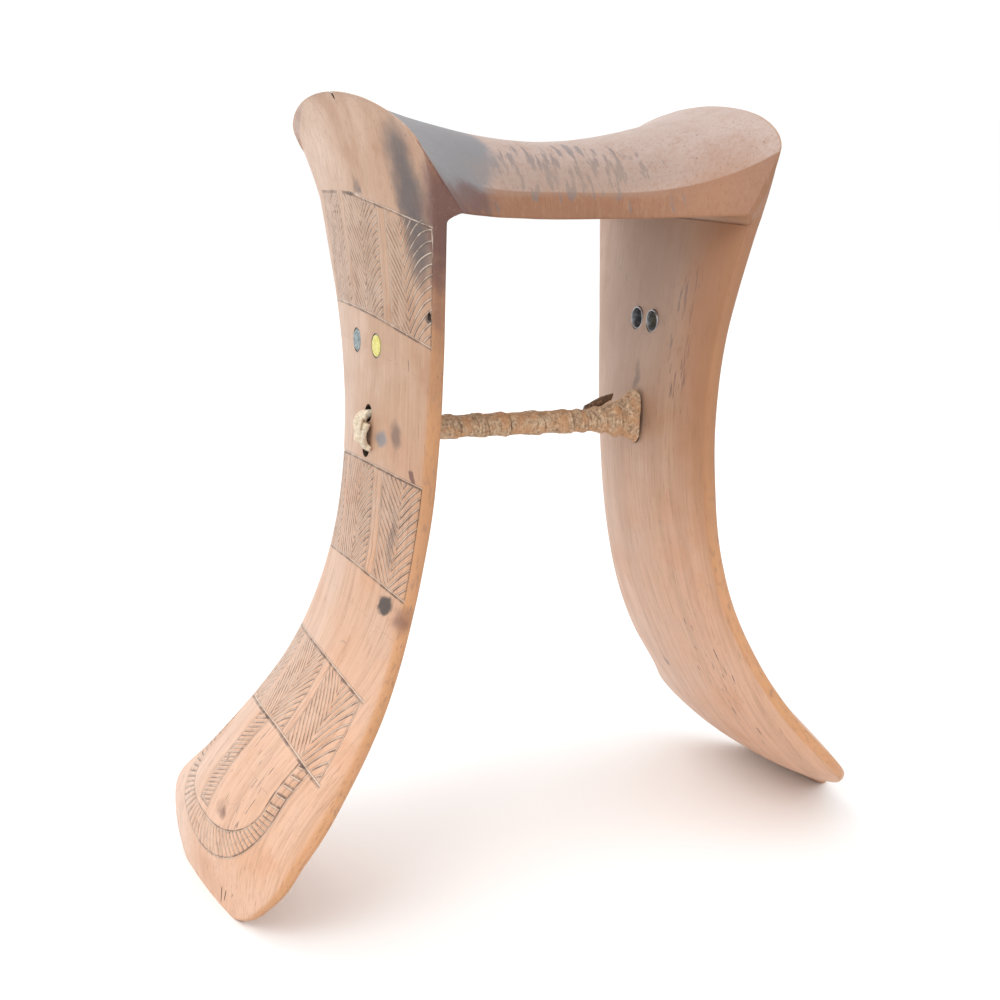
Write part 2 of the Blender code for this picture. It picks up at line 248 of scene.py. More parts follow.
@dataclass(frozen=True)
class Stance:
    """Turns the level layout, in millimetres, to where it stands on its soles."""

    short_leg: float = 4.7
    left_foot_x: float = 78.0
    right_foot_x: float = 86.5
    shift_x: float = 7.237
    shift_y: float = 3.136

    @property
    def tilt(self) -> float:
        """Angle that the shorter right leg turns the whole object by."""
        return math.atan2(self.short_leg, self.left_foot_x + self.right_foot_x)

    def place(self, points: Any) -> np.ndarray:
        """Move layout points to the ground.

        Args:
            points: one point or an array of them, in millimetres.

        Returns:
            The same points in metres, as they stand.
        """
        p = np.asarray(points, float)
        c, s = math.cos(self.tilt), math.sin(self.tilt)
        x = p[..., 0] * c + p[..., 2] * s - self.shift_x
        z = -p[..., 0] * s + p[..., 2] * c - self.left_foot_x * s
        return np.stack([x, p[..., 1] - self.shift_y, z], -1) * MM


STANCE = Stance()


# -------------------------------------------------------------- incised panels


@dataclass(frozen=True)
class HerringbonePanel:
    """One incised panel across a leg's outer face, in millimetres.

    Each pair holds the place of a line at the panel's top and at its foot.
    """

    top: tuple[float, float, float]
    foot: tuple[float, float, float]
    rear_edge: tuple[float, float]
    rear_strip: tuple[float, float, float, float]
    front_strip: tuple[float, float, float, float]
    front_edge: tuple[float, float]
    spines: tuple[float, float, float, float, float, float]
    steep: float = 1.35
    fine_pitch: float = 1.15
    arc_pitch: float = 2.3
    finer: float = 0.72

    def level(self, line: tuple[float, float, float], y: np.ndarray) -> np.ndarray:
        """Height of the top or foot line over the width."""
        return line[0] + line[1] * y + line[2] * y * y


@dataclass(frozen=True)
class LadderBand:
    """The horseshoe-shaped ladder and the straight one on a foot."""

    ceiling: tuple[float, float, float] = (38.1, 0.032, -0.0035)
    centre_y: float = 3.0
    bend_z: float = 26.0
    half_y: float = 26.9
    drop: float = 13.2
    half_band: float = 0.09
    sole_band: float = 0.25
    rung: float = 1.9
    bar_top: tuple[float, float] = (6.8, 38.0)
    bar_foot: tuple[float, float] = (7.6, 18.6)
    bar_half: float = 3.6
    bar_rung: float = 0.95


PANELS = (
    HerringbonePanel((156.4, 0.114, -0.0012), (130.9, 0.10, -0.0027), (31.5, 26.0),
                     (17.0, 12.2, 13.2, 10.2), (-6.9, -7.2, -11.2, -11.4), (-31.0, -28.8),
                     (23.0, 19.0, 2.6, 2.2, -17.6, -19.6)),
    HerringbonePanel((97.6, 0.02, -0.004), (74.1, 0.075, -0.005), (24.2, 24.6),
                     (14.6, 12.6, 11.8, 10.4), (-5.2, -5.6, -9.2, -9.6), (-24.0, -24.8),
                     (19.4, 18.6, 2.6, 2.0, -17.3, -16.2)),
    HerringbonePanel((53.3, 0.0885, -0.0033), (38.1, 0.032, -0.0035), (27.0, 31.0),
                     (17.4, 17.6, 14.2, 14.6), (-2.6, -5.8, -6.2, -9.6), (-24.2, -30.6),
                     (22.4, 24.6, 5.4, 4.0, -14.6, -20.8)),
)
FOOT_BAND = LadderBand()


class Strokes:
    """One family of parallel strokes: its phase, where it is cut, and its spacing."""

    def __init__(self, shape: tuple[int, ...]) -> None:
        """Start with nothing cut."""
        self.phase, self.mask, self.pitch = np.zeros(shape), np.zeros(shape), np.ones(shape)

    def lay(self, region: np.ndarray, cut: np.ndarray, phase: np.ndarray, pitch: Any) -> None:
        """Set the strokes of a region, and where inside it they are really cut.

        Args:
            region: where these strokes count.
            cut: where inside the region they are cut.
            phase: stroke count at each point, whole on a stroke.
            pitch: distance between strokes, in millimetres.
        """
        self.phase = np.where(region, phase, self.phase)
        self.pitch = np.where(region, pitch, self.pitch)
        self.mask = np.where(region & cut, 1.0, self.mask)

    def distance(self) -> np.ndarray:
        """Distance to the nearest stroke, in millimetres."""
        return np.abs((self.phase + 0.5) % 1.0 - 0.5) * self.pitch

    def field(self) -> np.ndarray:
        """Phase, mask and spacing as one vector."""
        return np.stack([self.phase, self.mask, self.pitch], -1)


class Lines:
    """One family of long border lines: signed distance and where they are cut."""

    def __init__(self, shape: tuple[int, ...]) -> None:
        """Start with nothing cut."""
        self.offset, self.mask = np.full(shape, 9.0), np.zeros(shape)

    def lay(self, region: np.ndarray, cut: np.ndarray, offset: np.ndarray) -> None:
        """Add one line, kept wherever it is the nearest one of its family.

        Args:
            region: where the line counts.
            cut: where it is cut.
            offset: signed distance from the line, in millimetres.
        """
        near = region & (np.abs(offset) < np.abs(self.offset))
        self.offset = np.where(near, offset, self.offset)
        self.mask = np.where(near, cut, self.mask)

    def field(self) -> np.ndarray:
        """Offset and mask as one vector."""
        return np.stack([self.offset, self.mask, 0 * self.mask], -1)


class IncisedPattern:
    """Works out, over a leg's face, where the knife went."""

    overrun: float = 1.4
    rim: float = 0.25
    far: float = 99.0
    arc_depth: float = 0.16
    arc_width: float = 0.36
    fine_depth: float = 0.05
    fine_width: float = 0.3
    line_depth: float = 0.22
    line_width: float = 0.4

    def __init__(self, y: np.ndarray, z: np.ndarray) -> None:
        """Lay the panels and the foot band over a face.

        Args:
            y: place across the leg, in millimetres.
            z: height up the leg, in millimetres.
        """
        self.y, self.z = y, z
        self.level, self.upright = Lines(y.shape), Lines(y.shape)
        self.fine, self.arcs = Strokes(y.shape), Strokes(y.shape)
        self.shake = 0.05 * np.sin(0.23 * y + 0.40 * z) + 0.02 * np.sin(0.5 * y - 0.8 * z)
        self._ladders(FOOT_BAND)
        for panel in PANELS:
            self._herringbone(panel)

    def _herringbone(self, p: HerringbonePanel) -> None:
        """Cut one panel: its frame, plain strips and feathered columns.

        Args:
            p: the panel.
        """
        y, z = self.y, self.z
        top, foot = p.level(p.top, y), p.level(p.foot, y)
        f = np.clip((z - foot) / (top - foot), 0, 1)
        zone = (z > foot - 0.3) & (z < top + 5)

        def upright(at_top: float, at_foot: float) -> np.ndarray:
            """Place of a line that runs down the panel."""
            return at_foot + (at_top - at_foot) * f

        rear, front = upright(*p.rear_edge), upright(*p.front_edge)
        across = (y < rear + 3) & (y > front - self.overrun)
        for edge, slope in ((top, p.top[1]), (foot, p.foot[1])):
            near = np.abs(z - edge) < 8
            self.level.lay(near, across, (z - edge) / math.hypot(1, slope))
        a, b, s = p.rear_strip, p.front_strip, p.spines
        a1, a2 = upright(a[0], a[1]), upright(a[2], a[3])
        b1, b2 = upright(b[0], b[1]), upright(b[2], b[3])
        inside = (z < top) & (z > foot)
        sway = 0.12 * np.sin(0.31 * z + 1.7)
        for line in (rear, front, a1, a2, b1, b2):
            self.upright.lay(zone, inside, y - line + sway)
        spines = [upright(s[k], s[k + 1]) for k in (0, 2, 4)]
        cut = (z < top - 0.3) & (z > foot + 0.3)
        highs, lows = (rear, a2, b2), (a1, b1, front)
        turns = [self.far + 0 * y] + [(spines[k] + lows[k]) / 2 for k in (0, 1)] + [-self.far + 0 * y]
        for k, (high, spine) in enumerate(zip(highs, spines)):
            t = y - spine
            run = p.fine_pitch * math.hypot(1, p.steep)
            here = zone & (y <= turns[k]) & (y > turns[k + 1])
            phase = (z - p.steep * t + 0.02 * t * t) / run + self.shake
            self.fine.lay(here, cut & (t > 0.1) & (y < high - self.rim), phase, p.fine_pitch)
        turns = [self.far + 0 * y] + [(spines[k] + highs[k]) / 2 for k in (1, 2)] + [-self.far + 0 * y]
        for k, (low, spine) in enumerate(zip(lows, spines)):
            t = spine - y
            here = zone & (y <= turns[k]) & (y > turns[k + 1])
            pitch = p.arc_pitch if k == 2 else p.arc_pitch * p.finer
            rise, slope = 1.25 * t - 0.045 * t * t, 1.25 - 0.09 * np.clip(t, 0, 12)
            phase = (z - rise) / pitch + self.shake
            self.arcs.lay(here, cut & (t > 0.1) & (y > low + self.rim), phase,
                          pitch / np.hypot(1, slope))

    def _ladders(self, b: LadderBand) -> None:
        """Cut the horseshoe ladder and the straight ladder of the foot.

        Args:
            b: the sizes of both ladders.
        """
        y, z = self.y, self.z
        ceiling = b.ceiling[0] + b.ceiling[1] * y + b.ceiling[2] * y * y
        arm = y - b.centre_y
        zone, below = z < ceiling + 0.3, z < ceiling
        dz = np.maximum(b.bend_z - z, 0)
        angle = np.arctan2(dz / b.drop, np.abs(arm) / b.half_y)
        r = np.hypot(arm / b.half_y, dz / b.drop)
        wide = b.half_band + (b.sole_band - b.half_band) * np.sin(angle) ** 2
        scale = b.half_y + (b.drop * 1.1 - b.half_y) * np.sin(angle) ** 2
        for edge in (1 + wide, 1 - wide):
            self.upright.lay(zone, below, (r - edge) * scale + 0.15 * np.sin(0.4 * z + y * 0.2))
        reach = (math.pi / 2 - angle) * 0.85 * b.half_y + np.maximum(z - b.bend_z, 0)
        band = below & (np.abs(r - 1) < wide - self.rim / b.half_y)
        self.arcs.lay(zone, band, np.sign(arm) * reach / b.rung + 0.5 + self.shake, b.rung)
        (y0, z0), (y1, z1) = b.bar_top, b.bar_foot
        f = (z - z1) / (z0 - z1)
        off = y - (y1 + (y0 - y1) * f)
        for edge in (-b.bar_half, b.bar_half):
            self.upright.lay(zone & (z > z1 - 0.4), below & (z > z1), off - edge)
        self.level.lay(zone, np.abs(off) < b.bar_half, z - z1)
        bar = below & (z > z1) & (np.abs(off) < b.bar_half - self.rim)
        self.fine.lay(zone, bar, (z + 0.3 * off) / b.bar_rung + self.shake, b.bar_rung)

    def depth(self) -> np.ndarray:
        """Depth of the cut at each point, in millimetres.

        Returns:
            Depths over the face.
        """
        arcs = np.exp(-(self.arcs.distance() / self.arc_width) ** 2)
        fine = np.exp(-(self.fine.distance() / self.fine_width) ** 2)
        cut = np.maximum(self.arc_depth * self.arcs.mask * arcs,
                         self.fine_depth * self.fine.mask * fine)
        for lines in (self.level, self.upright):
            line = np.exp(-(lines.offset / self.line_width) ** 2)
            cut = np.maximum(cut, self.line_depth * lines.mask * line)
        return cut

    def fields(self) -> dict[str, np.ndarray]:
        """Attributes that the finish draws the cuts with."""
        return {"cut_level": self.level.field(), "cut_upright": self.upright.field(),
                "cut_fine": self.fine.field(), "cut_arcs": self.arcs.field()}


# ------------------------------------------------------------ the carved block


@dataclass(frozen=True)
class Leg:
    """Splines of one leg, over the height above its own sole."""

    low: float
    axis: Spline
    half: Spline
    skew: Spline


@dataclass
class CarvedBlock:
    """The one-piece block: saddle seat, two ears and two flared legs.

    Sizes are millimetres in the level layout.
    """

    under_z: float = 154.7
    under_dip: float = -2.0
    fillet: float = 2.2
    ear: tuple[float, float] = (49.7, 179.5)
    ear_front: tuple[float, float] = (43.7, 168.2)
    ear_round: float = 1.95
    ear_half: float = 37.7
    seat_mid_z: float = 169.6
    seat_edge_z: float = 157.7
    seat_half: float = 18.0
    crown_power: float = 2.6
    saddle_power: float = 1.78
    saddle_edge_power: float = 3.4
    arris: float = 1.0
    rim_wear: float = 1.5
    crown_share: float = 0.56
    outer_columns: int = 132
    inner_columns: int = 16
    edge_points: int = 3
    left_rows: int = 330
    right_rows: int = 168
    fan_rows: int = 16
    seat_rows: int = 18
    stations: tuple[float, ...] = (0.0, 0.12, 0.30, 0.50, 0.68, 1.0)
    left_axis: tuple[float, ...] = (76.4, 70.0, 49.2, 37.0, 34.8, 37.4)
    right_axis: tuple[float, ...] = (90.2, 68.9, 47.9, 37.7, 35.1, 39.8)
    widths_at: tuple[float, ...] = (-6.0, -3.0, 0.0, 6.0, 12.0, 19.0, 26.0, 38.0, 60.0,
                                    92.0, 125.0, 154.0)
    left_half: tuple[float, ...] = (3.3, 8.9, 19.8, 32.5, 38.6, 37.5, 35.3, 31.4, 26.2,
                                    24.7, 28.1, 34.4)
    right_half: tuple[float, ...] = (4.9, 10.8, 14.8, 25.4, 37.4, 41.6, 37.1, 32.6, 27.8,
                                     25.9, 28.3, 35.5)
    thick_at: tuple[float, ...] = (0.0, 12.0, 38.0, 92.0, 130.0, 154.0)
    thickness: tuple[float, ...] = (3.0, 10.4, 9.95, 11.4, 8.2, 8.8)
    edge_thickness: tuple[float, ...] = (2.0, 2.2, 2.5, 2.9, 3.1, 3.3)
    skew_at: tuple[float, ...] = (-6.0, 4.0, 12.0, 22.0, 36.0, 60.0, 92.0, 125.0, 154.0)
    left_skew: tuple[float, ...] = (-1.7, 1.4, 2.0, -3.1, -4.3, 0.7, 0.9, 0.0, 1.9)
    right_skew: tuple[float, ...] = (7.9, 11.2, 7.6, 1.7, 0.4, 0.5, -0.7, 0.7, 2.1)
    ear_lean: float = 0.1
    ear_sweep: tuple[float, float] = (1.1, -0.1)
    inlay_z: tuple[float, float] = (124.0, 128.2)
    inlay_left_y: tuple[float, float] = (-3.0, 9.3)
    inlay_right_y: tuple[float, float] = (-2.1, 5.1)
    inlay_hole: float = 2.78
    lace_z: float = 104.4
    lace_gap: float = 4.05
    lace_hole: float = 2.0
    drill_overrun: float = 6.0
    below_sole: float = -5.0
    rim_mark: float = 180.0
    seat_mark: float = 200.0
    seat_from: float = 190.0
    fan_rise: float = 27.0
    panel_reach: float = 6.0
    lump_size: float = 17.0
    lump_depth: float = 0.11
    knife_size: float = 5.0
    knife_depth: float = 0.035
    hand_inset: float = 0.10
    crisp_angle: float = 48.0

    def __post_init__(self) -> None:
        """Make the splines that the sections are drawn with."""
        self.thick = spline(self.thick_at, self.thickness)
        self.edge = spline(self.thick_at, self.edge_thickness)
        self.legs = {}
        for side in Side:
            right = side is Side.RIGHT
            low = STANCE.short_leg if right else 0.0
            zs = [low + (self.under_z - low) * f for f in self.stations]
            axis, half, skew = ((self.right_axis, self.right_half, self.right_skew) if right
                                else (self.left_axis, self.left_half, self.left_skew))
            self.legs[side] = Leg(low, spline(zs, axis), spline(self.widths_at, half),
                                  spline(self.skew_at, skew))

    def sides(self, leg: Leg, z: float, q: np.ndarray) -> tuple[np.ndarray, np.ndarray, float]:
        """Outer and inner faces across a leg at one height.

        Args:
            leg: the leg.
            z: height of its axis, layout millimetres.
            q: places across, from -1 at the front to 1 at the back.

        Returns:
            Outer (x, z) points, inner (x, z) points, and the axis' slope.
        """
        slope = float(leg.axis(z + 0.5) - leg.axis(z - 0.5))
        n = np.array([1.0, -slope]) / math.hypot(1, slope)
        centre = np.array([float(leg.axis(z)), z])
        t, e = float(self.thick(max(z - leg.low, 0))), float(self.edge(max(z - leg.low, 0)))
        crown = self.crown_share * (t - e)
        hollow = (t - e) - crown
        bow = (np.abs(q) ** 2.2)[:, None]
        return (centre + n * (t / 2 - crown * bow), centre - n * (t / 2 - hollow * bow), slope)

    def inlay_spot(self, side: Side, row: Row) -> tuple[float, float]:
        """Offset to the back and height of one inlay."""
        pair = self.inlay_right_y if side is Side.RIGHT else self.inlay_left_y
        return pair[row is Row.REAR], self.inlay_z[side is Side.RIGHT]

    def face(self, side: Side, z: float, y: float = 0.0, outer: bool = True) -> np.ndarray:
        """Layout point on a leg's outer or inner face at a height and width.

        Args:
            side: which leg.
            z: layout height, in millimetres.
            y: layout offset to the back, in millimetres.
            outer: the outer face; otherwise the inner one.

        Returns:
            Layout point (x, y, z).
        """
        leg = self.legs[side]
        q = np.array([(y - float(leg.skew(z))) / float(leg.half(z))])
        lo, hi = z - 8, z + 8
        for _ in range(30):
            mid = (lo + hi) / 2
            p = self.sides(leg, mid, q)[0 if outer else 1][0]
            lo, hi = (mid, hi) if p[1] < z else (lo, mid)
        return np.array([side.value * p[0], y, z])

    def ring(self, outer: Callable[[np.ndarray], np.ndarray],
             inner: Callable[[np.ndarray], np.ndarray], half: float, shift: float) -> np.ndarray:
        """Close one section, its four arrises worn round.

        Args:
            outer: outer (x, z) for places across.
            inner: inner (x, z) for places across.
            half: half width of the section.
            shift: how far the section is moved back.

        Returns:
            Ring of points, front to back on the outside and back on the inside.
        """
        lip = self.arris / half
        qo = np.linspace(-1 + lip, 1 - lip, self.outer_columns)
        qi = np.linspace(1 - lip, -1 + lip, self.inner_columns)

        def lift(xz: np.ndarray, q: np.ndarray) -> np.ndarray:
            """Add the width to points of the section."""
            return np.stack([xz[:, 0], q * half + shift, xz[:, 1]], -1)

        top, low = lift(outer(qo), qo), lift(inner(qi), qi)
        ends = np.array([1.0, -1.0])
        oc, ic = lift(outer(ends), ends), lift(inner(ends), ends)
        parts = [top]
        for k, (start, end, a, b) in enumerate(((oc[0], ic[0], top[-1], low[0]),
                                                (ic[1], oc[1], low[-1], top[0]))):
            span = np.linalg.norm(end - start)
            cut = min(0.45, self.arris / max(span, 1e-6))
            s, e = start + (end - start) * cut, end + (start - end) * cut
            bulge = np.array([0.0, 0.12 if k == 0 else -0.12, 0.0])
            n = self.edge_points
            for j in range(1, n + 1):
                t = j / n
                parts.append((a * (1 - t) ** 2 + 2 * start * t * (1 - t) + s * t * t)[None])
            parts.append(((s + e) / 2 + bulge)[None])
            for j in range(n):
                t = j / n
                parts.append((e * (1 - t) ** 2 + 2 * end * t * (1 - t) + b * t * t)[None])
            if k == 0:
                parts.append(low)
        return np.concatenate(parts)

    def half_block(self, side: Side, rows: int) -> tuple[np.ndarray, np.ndarray, np.ndarray]:
        """Sections of one half, from below its sole to mid seat.

        Args:
            side: which half.
            rows: how many sections the leg gets.

        Returns:
            Ring grid for X above zero, each ring's height up the leg, and the
            grain's coordinates: through, across and along the fibres.
        """
        leg = self.legs[side]
        z0 = np.linspace(self.below_sole, self.under_z - self.fillet - 0.4, 1200)
        zz = leg.low + z0 * (self.under_z - leg.low) / self.under_z
        step = np.hypot(np.gradient(leg.axis(zz)), np.gradient(zz))
        walk = np.cumsum(step)
        at = np.interp(np.linspace(walk[0], walk[-1], rows), walk, z0)
        rings, heights, grain = [], [], []
        for h in at:
            z = leg.low + h * (self.under_z - leg.low) / self.under_z
            back = float(leg.skew(h))
            ring = self.ring(lambda q: self.sides(leg, z, q)[0],
                             lambda q: self.sides(leg, z, q)[1], float(leg.half(h)), back)
            tilt = self.sides(leg, z, np.zeros(1))[2]
            n = np.array([1.0, -tilt]) / math.hypot(1, tilt)
            through = (ring[:, 0] - float(leg.axis(z))) * n[0] + (ring[:, 2] - z) * n[1]
            along = self.under_z + np.interp(h, z0, walk) - walk[-1]
            grain.append(np.stack([through + float(leg.axis(self.under_z)), ring[:, 1],
                                   np.full(len(ring), along)], -1))
            rings.append(ring)
            heights.append(h)
        slope = self.sides(leg, self.under_z, np.zeros(1))[2]
        apex, front = np.array(self.ear), np.array(self.ear_front)
        leg_half = float(leg.half(self.under_z))
        skew = float(leg.skew(self.under_z))

        def arch(q: np.ndarray) -> np.ndarray:
            """Height of the ear's rim, 1 at its tip."""
            return np.maximum(0, 1 - np.abs(q) ** self.ear_round) ** (1 / self.ear_round)

        def rim(q: np.ndarray) -> np.ndarray:
            """The ear's rim."""
            return front + (apex - front) * arch(q)[:, None]

        def fan(q: np.ndarray, u: Any) -> np.ndarray:
            """Outer face of the ear, from the leg's top to its rim.

            Args:
                q: places across, from -1 at the front to 1 at the back.
                u: share of the way up, from 0 to 1.

            Returns:
                Points (x, z).
            """
            p, e = self.sides(leg, self.under_z, q)[0], rim(q)
            d = e - p
            u = (np.zeros(len(q)) + u)[:, None]
            t0 = np.array([slope, 1.0]) * np.linalg.norm(d, axis=1, keepdims=True) * self.ear_lean
            t1 = np.stack([d[:, 0] * self.ear_sweep[0] + 2 * arch(q),
                           d[:, 1] * self.ear_sweep[1]], -1)
            return ((2 * u ** 3 - 3 * u ** 2 + 1) * p + (u ** 3 - 2 * u ** 2 + u) * t0
                    + (3 * u ** 2 - 2 * u ** 3) * e + (u ** 3 - u ** 2) * t1)

        def seat(q: np.ndarray, v: Any) -> np.ndarray:
            """Top of the saddle, from the rim (1) to mid span (0).

            Args:
                q: places across, from -1 at the front to 1 at the back.
                v: share of the way out from mid span.

            Returns:
                Points (x, z).
            """
            s = np.abs(q) ** self.crown_power
            mid = self.seat_mid_z + (self.seat_edge_z - self.seat_mid_z) * s
            power = self.saddle_power + (self.saddle_edge_power - self.saddle_power) * s
            e = rim(q)
            v = np.zeros(len(q)) + v
            return np.stack([e[:, 0] * v, mid + (e[:, 1] - mid) * v ** power], -1)

        def under(q: np.ndarray, a: float, f: float = 1.0) -> np.ndarray:
            """Inner face: round the inner corner, then along the underside.

            Args:
                q: places across, from -1 at the front to 1 at the back.
                a: share of the way round the corner.
                f: share of the way out from mid span.

            Returns:
                Points (x, z).
            """
            inner = self.sides(leg, self.under_z, q)[1]
            dx = self.fillet * (1 - math.cos(a * math.pi / 2))
            dz = self.fillet * (1 - math.sin(a * math.pi / 2))
            x = (inner[:, 0] - dx) * f
            z = self.under_z - dz + self.under_dip * (1 - f * f)
            return np.stack([x, np.zeros(len(q)) + z], -1)

        def trim(q: np.ndarray) -> tuple[np.ndarray, np.ndarray]:
            """Where the worn rim starts on the ear, and where it ends on the seat.

            Args:
                q: places across, from -1 at the front to 1 at the back.

            Returns:
                Share of each face that is left, ear first.
            """
            rise = np.linalg.norm(rim(q) - fan(q, 0.9), axis=1) / 0.1
            run = np.linalg.norm(rim(q) - seat(q, 0.95), axis=1) / 0.05
            return (1 - np.minimum(0.3, self.rim_wear / rise),
                    1 - np.minimum(0.2, self.rim_wear / run))

        steps = self.fan_rows + 4
        for k in range(self.fan_rows):
            u = k / (self.fan_rows - 1)
            width = leg_half + (self.ear_half - leg_half) * u * u * (3 - 2 * u)
            rings.append(self.ring(lambda q: fan(q, u * trim(q)[0]),
                                   lambda q: under(q, k / steps), width, skew))
            heights.append(self.under_z + self.fan_rise * u)
        for k in range(1, 5):
            t = k / 5

            def worn(q: np.ndarray) -> np.ndarray:
                """The rim, rubbed round between the ear's face and the seat."""
                a, b = fan(q, trim(q)[0]), seat(q, trim(q)[1])
                return a * (1 - t) ** 2 + 2 * rim(q) * t * (1 - t) + b * t * t

            rings.append(self.ring(worn, lambda q: under(q, (self.fan_rows + k) / steps),
                                   self.ear_half, skew))
            heights.append(self.rim_mark)
        for k in range(self.seat_rows):
            v = 1 - k / (self.seat_rows - 1)
            rings.append(self.ring(lambda q: seat(q, v * trim(q)[1]),
                                   lambda q: under(q, 1.0, 0.02 + 0.98 * v if v else 0.0),
                                   self.seat_half + (self.ear_half - self.seat_half) * v * v,
                                   skew * v))
            heights.append(self.seat_mark)
        grain += rings[len(grain):]
        return np.array(rings), np.array(heights), np.array(grain)

    def build(self, wood: bpy.types.Material, bore: bpy.types.Material) -> bpy.types.Object:
        """Skin both halves, incise them, cut the soles flat and drill.

        Args:
            wood: finish of the block.
            bore: near-black finish inside the holes and cracks, painted shade.

        Returns:
            The finished block.
        """
        left, left_h, left_g = self.half_block(Side.LEFT, self.left_rows)
        right, right_h, right_g = self.half_block(Side.RIGHT, self.right_rows)
        mirror = np.array([-1.0, 1.0, 1.0])
        grid = np.concatenate([left * mirror, right[-2::-1]])
        heights = np.concatenate([left_h, right_h[-2::-1]])
        grain = np.concatenate([left_g * mirror, right_g[-2::-1]])
        normals = grid_normals(grid)
        if normals[100, self.outer_columns // 2, 0] > 0:
            normals = -normals
        rows, cols = grid.shape[:2]
        outer = np.zeros((rows, cols), bool)
        outer[:, :self.outer_columns] = True
        on_leg = outer & (heights[:, None] < self.under_z + self.panel_reach)
        pattern = IncisedPattern(grid[..., 1], grid[..., 2])
        depth = np.where(on_leg, pattern.depth(), 0.0)
        fields = {"grain": grain, "arris": self._arris(rows, cols, heights),
                  "edge_face": self._edge_face(rows, cols), "facing": -normals[..., 1],
                  "upward": normals[..., 2] * (heights[:, None] > self.seat_from)}
        for key, values in pattern.fields().items():
            fields[key] = np.where(on_leg[..., None], values, 0.0)
        lumps = rough_field(grid, self.lump_size, 3.1, 2)
        knife = rough_field(grid * np.array([1.0, 1.0, 0.45]), self.knife_size, 8.7, 1)
        relief = (-depth - self.hand_inset + self.lump_depth * lumps
                  + self.knife_depth * knife)
        grid = grid + normals * relief[..., None]
        body = skin_grid("headrest_block", STANCE.place(grid), fields)
        self._cut_soles(body)
        body.data.materials.append(wood)
        self._drill(body, bore)
        smooth(body, self.crisp_angle)
        return body

    def _arris(self, rows: int, cols: int, heights: np.ndarray) -> np.ndarray:
        """How near each point lies to a rubbed edge, from 0 to 1.

        Args:
            rows: how many rings the grid has.
            cols: how many columns a ring has.
            heights: height of each ring up the leg.

        Returns:
            One number per grid point.
        """
        n, m, e = self.outer_columns, self.inner_columns, 2 * self.edge_points + 1
        across = np.zeros(cols)
        fade = 5
        ramp = np.linspace(0.9, 0.1, fade)
        across[:fade], across[n - fade:n] = ramp, ramp[::-1]
        across[n:n + e] = 1.0
        across[n + e:n + e + 2], across[n + e + m - 2:n + e + m] = (0.8, 0.4), (0.4, 0.8)
        across[n + e + m:] = 1.0
        field = np.repeat(across[None], rows, 0)
        rim = np.exp(-((heights - self.rim_mark) / 2.2) ** 2)
        field[:, :n] = np.maximum(field[:, :n], rim[:, None])
        return field

    def _edge_face(self, rows: int, cols: int) -> np.ndarray:
        """Which points lie on the narrow front (1) and back (-1) faces.

        Args:
            rows: how many rings the grid has.
            cols: how many columns a ring has.

        Returns:
            One number per grid point.
        """
        n, m, e = self.outer_columns, self.inner_columns, 2 * self.edge_points + 1
        across = np.zeros(cols)
        across[n:n + e], across[n + e + m:] = -1.0, 1.0
        return np.repeat(across[None], rows, 0)

    def _cut_soles(self, body: bpy.types.Object) -> None:
        """Saw both feet off flat at the ground and close them.

        Args:
            body: the skinned block.
        """
        choose(body)
        bpy.ops.object.mode_set(mode="EDIT")
        bpy.ops.mesh.select_all(action="SELECT")
        bpy.ops.mesh.bisect(plane_co=(0, 0, 2e-5), plane_no=(0, 0, 1), use_fill=True,
                            clear_inner=True, threshold=1e-7)
        bpy.ops.object.mode_set(mode="OBJECT")

    def _drill(self, body: bpy.types.Object, bore: bpy.types.Material) -> None:
        """Drill the inlay and lace holes, and open the old cracks.

        Args:
            body: the skinned block.
            bore: near-black finish inside the openings, painted shade.
        """
        cutters = []
        for side in Side:
            for row in Row:
                y, z = self.inlay_spot(side, row)
                cutters.append(self._drill_bit(side, z, y, self.inlay_hole, 40))
            for dz in (self.lace_gap, -self.lace_gap):
                cutters.append(self._drill_bit(side, self.lace_z + dz, 0.0, self.lace_hole, 28))
        for crack in CRACKS:
            cutters.append(crack.wedge())
        deselect_all()
        for c in cutters:
            c.select_set(True)
        bpy.context.view_layer.objects.active = cutters[0]
        bpy.ops.object.join()
        tool = bpy.context.object
        tool.data.materials.append(bore)
        mod = body.modifiers.new("openings", "BOOLEAN")
        mod.operation, mod.solver, mod.object = "DIFFERENCE", "MANIFOLD", tool
        mod.material_mode = "TRANSFER"
        apply_modifiers(body)
        bpy.data.objects.remove(tool)

    def _drill_bit(self, side: Side, z: float, y: float, radius: float,
                   facets: int) -> bpy.types.Object:
        """A round cutter right through a leg.

        Args:
            side: which leg.
            z: layout height, in millimetres.
            y: layout offset to the back, in millimetres.
            radius: radius, in millimetres.
            facets: how many sides the bit has.

        Returns:
            The cutter.
        """
        outer, inner = self.face(side, z, y), self.face(side, z, y, False)
        a, b = STANCE.place(outer), STANCE.place(inner)
        axis = Vector(b - a).normalized()
        length = float(np.linalg.norm(b - a))
        deselect_all()
        bpy.ops.mesh.primitive_cylinder_add(vertices=facets, radius=radius * MM,
                                            depth=length + self.drill_overrun * MM)
        bit = bpy.context.object
        bit.rotation_euler = axis.to_track_quat("Z", "Y").to_euler()
        bit.location = Vector((a + b) / 2)
        bake_place(bit)
        return bit


